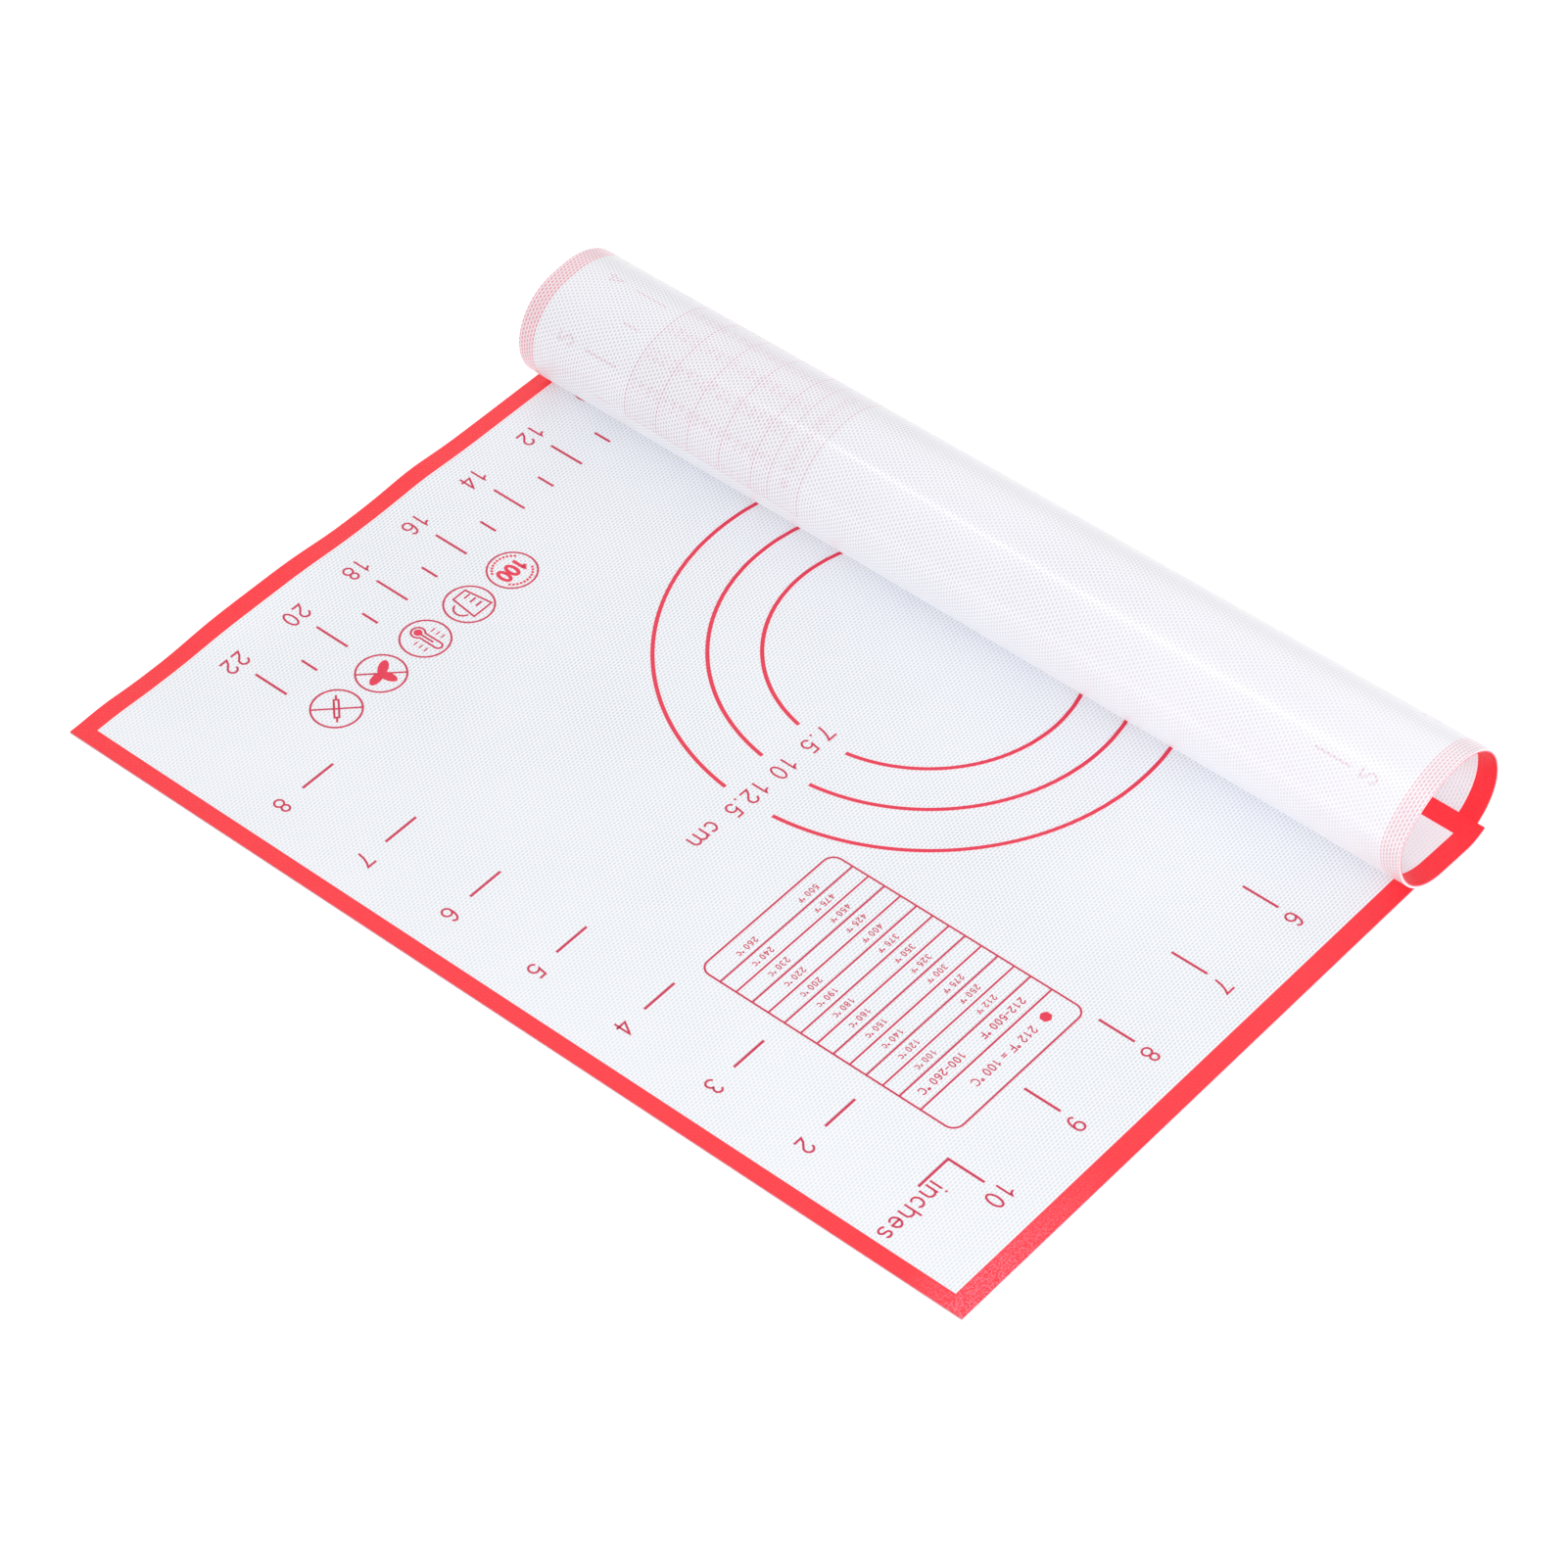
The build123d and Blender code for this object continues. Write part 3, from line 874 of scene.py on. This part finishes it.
def seen_second_table(wires, across, run, place):
    """The second table's lines, and its figures as rows of small broken spots."""
    near, far = SECOND_NEAR, SECOND_NEAR + SECOND_ALONG
    left, right = SECOND_LEFT, SECOND_LEFT + SECOND_ACROSS
    lines = wires.most(
        *(wires.math("COMPARE", across, line, TABLE_LINE / 2) for line in second_table_lines())
    )
    ends = wires.most(*(wires.math("COMPARE", run, end, TABLE_LINE / 2) for end in (near, far)))
    frame_lines = wires.most(
        wires.times(lines, wires.within(run, near, far)), wires.times(ends, wires.within(across, left, right))
    )
    first = near + SECOND_FIRST_COLUMN
    columns = wires.repeated(run, SECOND_COLUMN_PITCH, first, SEEN_COLUMN_WIDTH)
    rows = wires.repeated(across, SEEN_ROW_PITCH, left + SEEN_ROW_START, SEEN_ROW_WIDTH)
    spots = wires.times(
        columns,
        rows,
        wires.within(across, left + MM, right - SECOND_TITLE - MM),
        wires.within(run, near, far),
        wires.math("GREATER_THAN", wires.noise(place, 900.0, 1.0), 0.47),
    )
    haze = wires.times(wires.within(across, left, right), wires.within(run, near, far), 0.22)
    band = right - SECOND_TITLE / 2
    title = wires.times(
        wires.within(across, band - SEEN_TITLE_HALF, band + SEEN_TITLE_HALF),
        wires.within(run, near + SEEN_TITLE_START, far - SEEN_TITLE_END),
        wires.math("GREATER_THAN", wires.noise(place, 1100.0, 1.0), 0.5),
    )
    disc_run = far - SEEN_DISC_RUN
    disc_ends = (band, disc_run), (band, disc_run + SEEN_DISC_LENGTH)
    disc = stroke_mask(wires, across, run, *disc_ends, SEEN_DISC_RADIUS)
    return wires.most(frame_lines, wires.times(wires.most(spots, title, disc), 0.75), haze)


def back_silicone():
    """The unprinted face: white silicone on the weave, with the print showing through its gaps, and a painted
    glow on the roll's underside.
    """
    colours = bpy.context.scene.mat_colours
    material, wires, shader, (place, across, run), weave = new_material("silicone back face")
    gap = weave["Back Gap"]
    cloud = wires.math("MULTIPLY_ADD", wires.noise(place, 25.0), 0.5, 0.5)
    left = wires.ramp(across, *BACK_DOT_ACROSS)
    clear = wires.math("MULTIPLY_ADD", left, 0.5, 0.65)
    ground = wires.mix(wires.times(gap, cloud, clear), rgba(colours.back), rgba(colours.gap))
    marks = wires.most(
        seen_rulers(wires, across, run),
        seen_rings(wires, across, run),
        seen_second_table(wires, across, run, place),
    )
    marks = wires.times(marks, wires.math("MULTIPLY_ADD", gap, 0.36, 0.11))
    # Painted sheen: the border seen through grows paler towards the right end, standing in for the sheen that
    # washes the right end out
    depth = wires.math("MULTIPLY_ADD", left, wires.math("MULTIPLY_ADD", gap, 0.5, 0.08), 0.08)
    border = seen_border(wires, across, run)
    border = wires.times(border, wires.math("MULTIPLY_ADD", weave["Thread"], 0.62, depth))
    tint = wires.mix(marks, wires.mix(border, ground, rgba(colours.seen_through)), rgba(colours.seen_marks))
    wires.put(shader.inputs["Base Color"], tint)
    wires.put(shader.inputs["Roughness"], wires.math("MULTIPLY_ADD", gap, 0.15, 0.28))
    # Painted glow: emission on the roll's underside, standing in for light let through the sheet
    wires.put(shader.inputs["Emission Color"], rgba(colours.back))
    wires.put(shader.inputs["Emission Strength"], wires.times(wires.ramp(run, *UNDERSIDE_GLOW), 0.05))
    relief(wires, shader, weave["Relief"], 0.18, 0.05 * MM)
    shader.inputs["Specular IOR Level"].default_value = 0.32
    shader.inputs["Coat Weight"].default_value = 0.16
    shader.inputs["Coat Roughness"].default_value = 0.1
    shader.inputs["Sheen Weight"].default_value = 0.15
    return material


def cut_edge(name, colour):
    """The trimmed edge of a layer, stained by the border over it and speckled by cut yarns."""
    material, wires, shader, (place, _, _), _ = new_material(name)
    pale = tuple(0.2 + 0.8 * channel for channel in colour)
    wires.put(shader.inputs["Base Color"], wires.mix(wires.noise(place, 1500.0), rgba(colour), rgba(pale)))
    shader.inputs["Roughness"].default_value = 0.6
    return material


def glass_yarn():
    """The woven glass fibre, pale and fine."""
    material, wires, shader, _, weave = new_material("glass fibre")
    wires.put(
        shader.inputs["Base Color"], wires.mix(weave["Relief"], (0.8, 0.82, 0.85, 1), (0.93, 0.94, 0.95, 1))
    )
    relief(wires, shader, weave["Relief"], 0.8, 0.1 * MM)
    shader.inputs["Roughness"].default_value = 0.5
    return material


def ink(name, colour, speckle):
    """Silicone ink: even colour with slight clouds, and the weave's relief with glossy grains."""
    found = bpy.data.materials.get(name)
    if found:
        return found
    material, wires, shader, (place, across, run), weave = new_material(name)
    cloud = wires.noise(place, 60.0)
    dark = tuple(0.93 * channel for channel in colour)
    grain = wires.noise(place, 1400.0, 3.0)
    print_colour = wires.mix(cloud, rgba(dark), rgba(colour))
    # Painted sheen: pale flecks near the front right corner stand in for glossy speckles that catch the light
    flecks = wires.ramp(wires.noise(place, 2400.0, 1.0), 0.42, 0.62)
    sheen_flecks = wires.times(worn_corner(wires, across, run), flecks)
    wires.put(shader.inputs["Base Color"], wires.mix(sheen_flecks, print_colour, CORNER_SHEEN_INK))
    height = wires.add(wires.times(grain, speckle), weave["Relief"])
    relief(wires, shader, height, 0.8, 0.08 * MM)
    wires.put(shader.inputs["Roughness"], wires.math("MULTIPLY_ADD", grain, 0.3, 0.25))
    shader.inputs["Specular IOR Level"].default_value = 0.35
    # Painted glow on the roll: emission in the ink's colour, standing in for light let through the sheet
    let_through(wires, shader, run, rgba(colour), 0.04)
    return material


def worn_corner(wires, across, run):
    """How much painted sheen the print gets: most at the front right corner, less along the two edges that
    meet there.
    """
    right = wires.times(
        wires.ramp(across, RIGHT_EDGE - BORDER_RIGHT - MM, RIGHT_EDGE - BORDER_RIGHT + MM),
        wires.ramp(run, *CORNER_SHEEN_SIDE),
    )
    front = wires.times(
        wires.ramp(run, BORDER_FRONT + MM, BORDER_FRONT - MM),
        wires.ramp(across, RIGHT_EDGE - CORNER_SHEEN_FRONT, RIGHT_EDGE),
    )
    return wires.times(wires.most(right, front), CORNER_SHEEN_MOST)


def let_through(wires, shader, run, colour, strength):
    """A faint painted glow (emission) on the turned part of the sheet, standing in for the light that a thin
    coat lets through.
    """
    wires.put(shader.inputs["Emission Color"], colour)
    wires.put(shader.inputs["Emission Strength"], wires.times(wires.ramp(run, *TURNED_GLOW), strength))


def border_ink():
    return ink("border ink", bpy.context.scene.mat_colours.border, 0.5)


def marking_ink():
    return ink("marking ink", bpy.context.scene.mat_colours.marking, 0.3)


def fine_ink():
    return ink("fine marking ink", bpy.context.scene.mat_colours.fine_marking, 0.3)


def print_piece(builder, name, *nodes, material=None, slot="marking_ink"):
    """Finishes a printed piece, in fine ink with brighter heavy lines, and hides the parts of model.glb that
    it stands for.
    """
    piece = builder.finish(name, sheet_form(), [material] if material else [fine_ink(), marking_ink()])
    if nodes:
        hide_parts(*nodes)
    return piece


class MAT_OT_laminate(bpy.types.Operator):
    """Builds the two silicone coats and the glass fibre mesh between them"""

    bl_idname = "baking_mat.laminate"
    bl_label = "Laminate"

    def execute(self, context):
        form = sheet_form()
        across, run = form.grid_acrosses(), form.grid_runs(0, SHEET_LENGTH)
        face, back, yarn = face_silicone(), back_silicone(), glass_yarn()
        low_edge = cut_edge("cut edge, lower coat", LOW_EDGE)
        middle_edge = cut_edge("cut edge, glass fibre", MIDDLE_EDGE)
        high_edge = cut_edge("cut edge, upper coat", HIGH_EDGE)
        coat, mesh = "silicone_coat", "glass_mesh"
        layers = (
            ("bottom_coat", "bottom_silicone", (0.0, BOTTOM_COAT), (yarn, back, low_edge), coat),
            ("woven_glass", "glass_fibre_mesh", (BOTTOM_COAT, MESH_TOP), (yarn, yarn, middle_edge), mesh),
            ("top_coat", "top_silicone", (MESH_TOP, LAMINATE), (face, yarn, high_edge), coat),
        )
        for name, node, heights, materials, slot in layers:
            builder = Builder()
            builder.slab(across, run, *heights)
            piece = builder.finish(name, form, materials)
            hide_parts(node)
        return {"FINISHED"}


class MAT_OT_border(bpy.types.Operator):
    """Prints the red border along all four edges"""

    bl_idname = "baking_mat.border"
    bl_label = "Border"

    def execute(self, context):
        form = sheet_form()
        across, run = form.grid_acrosses(), form.grid_runs(0, SHEET_LENGTH)
        middle_across, middle_run = (across[1:] + across[:-1]) / 2, (run[1:] + run[:-1]) / 2
        left, right = LEFT_EDGE + BORDER_LEFT, RIGHT_EDGE - BORDER_RIGHT
        inside_across = (middle_across > left) & (middle_across < right)
        inside_run = (middle_run > BORDER_FRONT) & (middle_run < SHEET_LENGTH - BORDER_END)
        builder = Builder()
        builder.slab(across, run, LAMINATE - PRINT_KEY, PRINT_TOP, ~np.outer(inside_run, inside_across))
        print_piece(builder, "border_ink", "border_print", material=border_ink(), slot="border_ink")
        return {"FINISHED"}


class MAT_OT_inch_rulers(bpy.types.Operator):
    """Prints the corner mark, both inch rulers, their numerals and their unit"""

    bl_idname = "baking_mat.inch_rulers"
    bl_label = "Inch rulers"

    def execute(self, context):
        across, run = CORNER
        mark = Builder()
        mark.line([(across + TICK_LENGTH, run), (across, run), (across, run - TICK_LENGTH)], RULER_LINE)
        print_piece(mark, "corner_lines", "corner_mark")
        side, front, numerals = Builder(), Builder(), Builder()
        for count in range(1, SIDE_INCHES + 1):
            place = run + INCH * count
            side.line([(across, place), (across + TICK_LENGTH, place)], RULER_LINE)
        for count in range(1, FRONT_INCHES + 1):
            place = across - INCH * count
            front.line([(place, run), (place, run - TICK_LENGTH)], RULER_LINE)
            middle = (place + FRONT_NUMERALS[0], run + FRONT_NUMERALS[1])
            write(numerals, str(count + 1), middle, NUMERAL_HEIGHT, NUMERAL_LINE)
        for count in range(SIDE_INCHES + 1):
            middle = (across + SIDE_NUMERALS[0], run + INCH * count + SIDE_NUMERALS[1])
            write(numerals, str(SIDE_INCHES + 1 - count), middle, NUMERAL_HEIGHT, NUMERAL_LINE)
        unit_place = (across + INCHES_WORD_PLACE[0], run + INCHES_WORD_PLACE[1])
        write(numerals, "inches", unit_place, NUMERAL_HEIGHT, NUMERAL_LINE)
        print_piece(side, "side_inch_ticks", "side_inch_ruler")
        print_piece(front, "front_inch_ticks", "front_inch_ruler")
        print_piece(numerals, "inch_numerals")
        return {"FINISHED"}


class MAT_OT_centimetre_ruler(bpy.types.Operator):
    """Prints the centimetre ruler and its numerals"""

    bl_idname = "baking_mat.centimetre_ruler"
    bl_label = "Centimetre ruler"

    def execute(self, context):
        ticks, numerals = Builder(), Builder()
        inner = CENTIMETRE_INNER_END
        for count in range(CENTIMETRE_TICKS):
            place = CENTIMETRE_START + CENTIMETRE * count
            length = SHORT_TICK if count % 2 else TICK_LENGTH
            ticks.line([(inner - length, place), (inner, place)], RULER_LINE)
            if count % 2 == 0:
                middle = (inner + CENTIMETRE_NUMERALS[0], place + CENTIMETRE_NUMERALS[1])
                write(numerals, str(CENTIMETRE_TICKS - count), middle, NUMERAL_HEIGHT, NUMERAL_LINE)
        print_piece(ticks, "centimetre_ticks", "centimetre_ruler")
        print_piece(numerals, "centimetre_numerals")
        return {"FINISHED"}


class MAT_OT_ring_guides(bpy.types.Operator):
    """Prints the three ring guides round their opening, and their sizes"""

    bl_idname = "baking_mat.ring_guides"
    bl_label = "Ring guides"

    def execute(self, context):
        across, run = RING_CENTRE
        for node, diameter in RING_DIAMETERS.items():
            radius = diameter / 2
            start = np.degrees(np.arcsin(RING_OPENING / diameter))
            ring = Builder()
            ring.line(arc(across, run, radius, radius, start - 90, 270 - start, 1.5), RING_LINE)
            print_piece(ring, node.replace("_guide", "_line"), node)
        labels = Builder()
        for text, offset in RING_LABELS:
            middle = (across - RING_LABEL_SHIFT, run + offset * MM)
            write(labels, text, middle, NUMERAL_HEIGHT, NUMERAL_LINE)
        print_piece(labels, "ring_sizes")
        return {"FINISHED"}


class MAT_OT_tables(bpy.types.Operator):
    """Prints the temperature table and the second table on the rolled stretch"""

    bl_idname = "baking_mat.tables"
    bl_label = "Tables"

    def execute(self, context):
        self.temperature_table()
        self.second_table()
        return {"FINISHED"}

    def temperature_table(self):
        across, run = CORNER
        right, left = across + TABLE_RIGHT - TABLE_LINE / 2, across + TABLE_LEFT + TABLE_LINE / 2
        near, far = run + TABLE_NEAR + TABLE_LINE / 2, run + TABLE_FAR - TABLE_LINE / 2
        bend = TABLE_RADIUS - TABLE_LINE / 2
        corners = ((right, far, 0), (left, far, 90), (left, near, 180), (right, near, 270))
        outline = joined(
            *(
                arc(
                    x + (bend if x == left else -bend),
                    y + (bend if y == near else -bend),
                    bend,
                    bend,
                    angle,
                    angle + 90,
                )
                for x, y, angle in corners
            )
        )
        lines, figures = Builder(), Builder()
        lines.line(outline, TABLE_LINE, closed=True)
        rows = len(CELSIUS)
        table_right, table_left = across + TABLE_RIGHT, across + TABLE_LEFT
        pitch = (table_right - table_left - TITLE_BAND - HEAD_BAND - LAST_ROW) / (rows - 1)
        body = table_right - TITLE_BAND - HEAD_BAND
        for place in [table_right - TITLE_BAND] + [body - pitch * row for row in range(rows)]:
            lines.line([(place, near), (place, far)], TABLE_LINE)
        spot = (across - TITLE_SPOT[0], run + TITLE_SPOT[1])
        lines.spot(arc(*spot, TITLE_SPOT_RADIUS, TITLE_SPOT_RADIUS, 0, 300, 60))
        columns = ((FAHRENHEIT_COLUMN, FAHRENHEIT, "°F"), (CELSIUS_COLUMN, CELSIUS, "°C"))
        small = 0.75 * TABLE_NUMERAL_HEIGHT
        for offset, values, unit in columns:
            place = run + offset
            head, head_place = f"{min(values)}-{max(values)} {unit}", (body + HEAD_BAND / 2, place - MM)
            write(figures, head, head_place, 0.9 * HEAD_HEIGHT, HEAD_LINE, HEAD_SPREAD)
            for row, value in enumerate(values):
                middle = body - pitch * (row + 0.5)
                value_place = (middle, place + VALUE_SHIFT)
                write(figures, str(value), value_place, TABLE_NUMERAL_HEIGHT, FINE_LINE, FIGURE_SPREAD)
                unit_place = (middle + UNIT_RISE, place - UNIT_SHIFT)
                write(figures, unit, unit_place, small, FINE_LINE, FIGURE_SPREAD)
        title = (across - TITLE_PLACE[0], run + TITLE_PLACE[1])
        write(figures, "212 °F = 100 °C", title, HEAD_HEIGHT, HEAD_LINE)
        print_piece(lines, "temperature_table_lines", "temperature_table")
        print_piece(figures, "temperature_table_figures")

    def second_table(self):
        lines, figures = Builder(), Builder()
        near, far = SECOND_NEAR, SECOND_NEAR + SECOND_ALONG
        half = TABLE_LINE / 2
        places = second_table_lines()
        right, left = places[0] - half, places[-1] + half
        for place in [right, *places[1:-1], left]:
            lines.line([(place, near), (place, far)], TABLE_LINE)
        for end in (near + half, far - half):
            lines.line([(left, end), (right, end)], TABLE_LINE)
        row = places[-2] - places[-1]
        for column in range(SECOND_COLUMNS):
            place = near + SECOND_FIRST_COLUMN + SECOND_COLUMN_PITCH * column
            for count in range(2 * SECOND_ROWS):
                middle = places[2] - row / 2 * (count + 0.5)
                value = str(5 * (column + 1) * (count + 1))
                write(figures, value, (middle, place), TABLE_NUMERAL_HEIGHT, FINE_LINE)
        print_piece(lines, "second_table_lines", "second_table")
        print_piece(figures, "second_table_figures")


class MAT_OT_badges(bpy.types.Operator):
    """Prints the five round badges with plain figures of kitchen things"""

    bl_idname = "baking_mat.badges"
    bl_label = "Badges"

    def execute(self, context):
        rings, figures = Builder(), Builder()
        drawings = (self.pin, self.leaves, self.thermometer, self.beaker, self.hundred)
        for count, draw in enumerate(drawings):
            middle = (BADGE_ACROSS, BADGE_START + BADGE_PITCH * count)
            radius = BADGE_RADIUS - BADGE_LINE / 2
            rings.line(arc(*middle, radius, radius, 0, 354, 6), BADGE_LINE, closed=True)
            draw(figures, middle)
        print_piece(rings, "badge_outlines", "badge_rings")
        print_piece(figures, "badge_figures")
        return {"FINISHED"}

    def put(self, middle, points):
        """Sheet places of points drawn upright in a badge, whose radius is one."""
        points = np.asarray(points, float) * BADGE_RADIUS
        return np.column_stack([middle[0] + points[:, 1], middle[1] - points[:, 0]])

    def pin(self, builder, middle):
        """A rolling pin across the badge, crossed by a line."""
        turned = np.array([[cos(0.8), sin(0.8)], [-sin(0.8), cos(0.8)]])
        roller = np.array([(-0.45, -0.09), (0.45, -0.09), (0.45, 0.09), (-0.45, 0.09)]) @ turned
        builder.line(self.put(middle, roller), BADGE_LINE, closed=True)
        for end in (-1, 1):
            handle = np.array([(0.45 * end, 0), (0.7 * end, 0)]) @ turned
            builder.line(self.put(middle, handle), BADGE_LINE)
        builder.line(self.put(middle, [(-0.68, 0.68), (0.68, -0.68)]), BADGE_LINE)

    def leaves(self, builder, middle):
        """Three filled leaves from one point, crossed by a line."""
        for turn in (-80, 10, 120):
            leaf = joined(arc(0, 0, 0.2, 0.4, -90, 60, 15), arc(0, 0, 0.2, 0.4, 75, 255, 15)[:-1])
            angle = radians(turn)
            turned = np.array([[cos(angle), sin(angle)], [-sin(angle), cos(angle)]])
            builder.spot(self.put(middle, (leaf + (0, 0.3)) @ turned))
        builder.line(self.put(middle, [(-0.68, 0.68), (0.68, -0.68)]), BADGE_LINE)

    def thermometer(self, builder, middle):
        """A stem and a ringed bulb, with marks beside them."""
        stem = joined(arc(-0.05, 0.6, 0.16, 0.16, 0, 180, 30), arc(-0.05, -0.42, 0.27, 0.27, 125, 415, 10))
        builder.line(self.put(middle, stem), BADGE_LINE, closed=True)
        builder.spot(self.put(middle, arc(-0.05, -0.42, 0.17, 0.17, 0, 340, 20)))
        builder.line(self.put(middle, [(-0.05, -0.3), (-0.05, 0.35)]), BADGE_LINE)
        for height in (-0.1, 0.15, 0.4):
            for side in (0.3, -0.62):
                builder.line(self.put(middle, [(side, height), (side + 0.22, height)]), BADGE_LINE * 0.7)

    def beaker(self, builder, middle):
        """A measuring beaker with a handle and marks."""
        cup = [(-0.6, 0.58), (-0.45, -0.62), (0.2, -0.62), (0.35, 0.58)]
        builder.line(self.put(middle, cup), BADGE_LINE, closed=True)
        builder.line(self.put(middle, arc(0.33, 0, 0.36, 0.36, 75, -80)), BADGE_LINE)
        for height in (-0.35, -0.05, 0.25):
            builder.line(self.put(middle, [(-0.42, height), (-0.1, height)]), BADGE_LINE)

    def hundred(self, builder, middle):
        """The number 100 in heavy strokes between two arcs of dots."""
        write(builder, "100", middle, HUNDRED_HEIGHT, HUNDRED_LINE, HUNDRED_SPREAD)
        for angle in range(35, 146, 11):
            for side in (angle, -angle):
                spot = arc(0.77 * cos(radians(side)), 0.77 * sin(radians(side)), 0.06, 0.06, 0, 300, 60)
                builder.spot(self.put(middle, spot))


class MAT_OT_stage(bpy.types.Operator):
    """Sets the floor, the lights, the surround and the camera"""

    bl_idname = "baking_mat.stage"
    bl_label = "Stage"

    def execute(self, context):
        settings = context.scene.mat_stage
        self.floor()
        self.surround(context.scene, settings.surround)
        self.soft_box("right box", *RIGHT_BOX, settings.right_box)
        through = self.soft_box("through box", *RIGHT_BOX, settings.through_box)
        through.data.use_shadow = False
        back = self.soft_box("back box", *BACK_BOX, settings.back_box)
        back.data.use_shadow = False
        self.soft_box("top box", *TOP_BOX, settings.top_box)
        gloss = self.soft_box("gloss strip", *GLOSS_STRIP, settings.gloss_strip, GLOSS_TURN)
        gloss.visible_diffuse = False
        self.camera(context.scene)
        context.scene.view_settings.view_transform = "Standard"
        return {"FINISHED"}

    def floor(self):
        """A plain pale floor, which the camera sees as white outside the mat's shadow."""
        mesh = bpy.data.meshes.new("floor")
        far = 6.0
        mesh.from_pydata([(-far, -far, 0), (far, -far, 0), (far, far, 0), (-far, far, 0)], [], [(0, 1, 2, 3)])
        floor = bpy.data.objects.new("floor", mesh)
        bpy.context.scene.collection.objects.link(floor)
        material = bpy.data.materials.new("pale floor")
        material.use_nodes = True
        mesh.materials.append(material)
        wires = Wires(material.node_tree)
        shader = material.node_tree.nodes["Principled BSDF"]
        shader.inputs["Base Color"].default_value = (0.7, 0.7, 0.7, 1)
        shader.inputs["Roughness"].default_value = 0.9
        shader.inputs["Specular IOR Level"].default_value = 0.0
        shader.inputs["Emission Color"].default_value = (1, 1, 1, 1)
        path = wires.node("ShaderNodeLightPath").outputs
        seen = wires.most(path["Is Camera Ray"], path["Is Glossy Ray"], path["Is Transmission Ray"])
        wires.put(shader.inputs["Emission Strength"], wires.times(seen, 0.6))

    def surround(self, scene, strength):
        """Even light from all round, seen as white by the camera."""
        world = scene.world or bpy.data.worlds.new("studio")
        scene.world = world
        world.use_nodes = True
        wires = Wires(world.node_tree)
        path = wires.node("ShaderNodeLightPath").outputs
        seen = wires.most(path["Is Camera Ray"], path["Is Glossy Ray"], path["Is Transmission Ray"])
        background = world.node_tree.nodes["Background"]
        background.inputs["Color"].default_value = (1, 1, 1, 1)
        wires.put(background.inputs["Strength"], wires.math("MULTIPLY_ADD", seen, 1 - strength, strength))

    def soft_box(self, name, place, size, power, turn=0.0):
        """A soft box that faces the middle of the mat, turned by an angle in its own plane."""
        light = bpy.data.lights.new(name, "AREA")
        light.shape = "RECTANGLE"
        light.size, light.size_y = size
        light.energy = power
        lamp = bpy.data.objects.new(name, light)
        bpy.context.scene.collection.objects.link(lamp)
        away = np.array(place) / np.linalg.norm(place)
        aside = np.cross((0, 0, 1), away)
        aside /= np.linalg.norm(aside)
        aside = aside * cos(turn) + np.cross(away, aside) * sin(turn)
        lamp.matrix_world = placed(place, aside, np.cross(away, aside), away)
        return lamp

    def camera(self, scene):
        """The camera, from its place, its azimuth and elevation, and its slight roll."""
        turn, tilt = CAMERA_AZIMUTH, CAMERA_ELEVATION
        ahead = np.array([-sin(turn) * cos(tilt), cos(turn) * cos(tilt), -sin(tilt)])
        level = np.array([cos(turn), sin(turn), 0])
        above = np.cross(level, ahead)
        right = level * cos(CAMERA_ROLL) + above * sin(CAMERA_ROLL)
        data = bpy.data.cameras.new("camera")
        data.lens, data.sensor_width = LENS, SENSOR
        data.clip_start, data.clip_end = 0.05, 20
        camera = bpy.data.objects.new("camera", data)
        scene.collection.objects.link(camera)
        camera.matrix_world = placed(CAMERA_PLACE, right, np.cross(right, ahead), -ahead)
        scene.camera = camera


def placed(place, x_axis, y_axis, z_axis):
    """The matrix that puts a thing at a place with these axes."""
    matrix = np.eye(4)
    matrix[:3] = np.column_stack([x_axis, y_axis, z_axis, place])
    return Matrix(matrix.tolist())


class MAT_PT_panel(bpy.types.Panel):
    """Lists the pieces of the mat and their settings"""

    bl_label = "Baking Mat"
    bl_idname = "MAT_PT_panel"
    bl_space_type = "VIEW_3D"
    bl_region_type = "UI"
    bl_category = "Baking Mat"

    def draw(self, context):
        for settings in (context.scene.mat_form, context.scene.mat_colours, context.scene.mat_stage):
            box = self.layout.box()
            for name in settings.__annotations__:
                box.prop(settings, name)
        for operator in OPERATORS:
            self.layout.operator(operator.bl_idname)


OPERATORS = (
    MAT_OT_laminate,
    MAT_OT_border,
    MAT_OT_inch_rulers,
    MAT_OT_centimetre_ruler,
    MAT_OT_ring_guides,
    MAT_OT_tables,
    MAT_OT_badges,
    MAT_OT_stage,
)
SETTINGS = {"mat_form": MatForm, "mat_colours": MatColours, "mat_stage": MatStage}
CLASSES = (*SETTINGS.values(), *OPERATORS, MAT_PT_panel)


def register():
    for made in CLASSES:
        bpy.utils.register_class(made)
    for name, settings in SETTINGS.items():
        setattr(bpy.types.Scene, name, PointerProperty(type=settings))


def unregister():
    for name in SETTINGS:
        delattr(bpy.types.Scene, name)
    for made in reversed(CLASSES):
        bpy.utils.unregister_class(made)


def main():
    register()
    for operator in OPERATORS:
        family, name = operator.bl_idname.split(".")
        getattr(getattr(bpy.ops, family), name)()


if __name__ == "__main__":
    main()
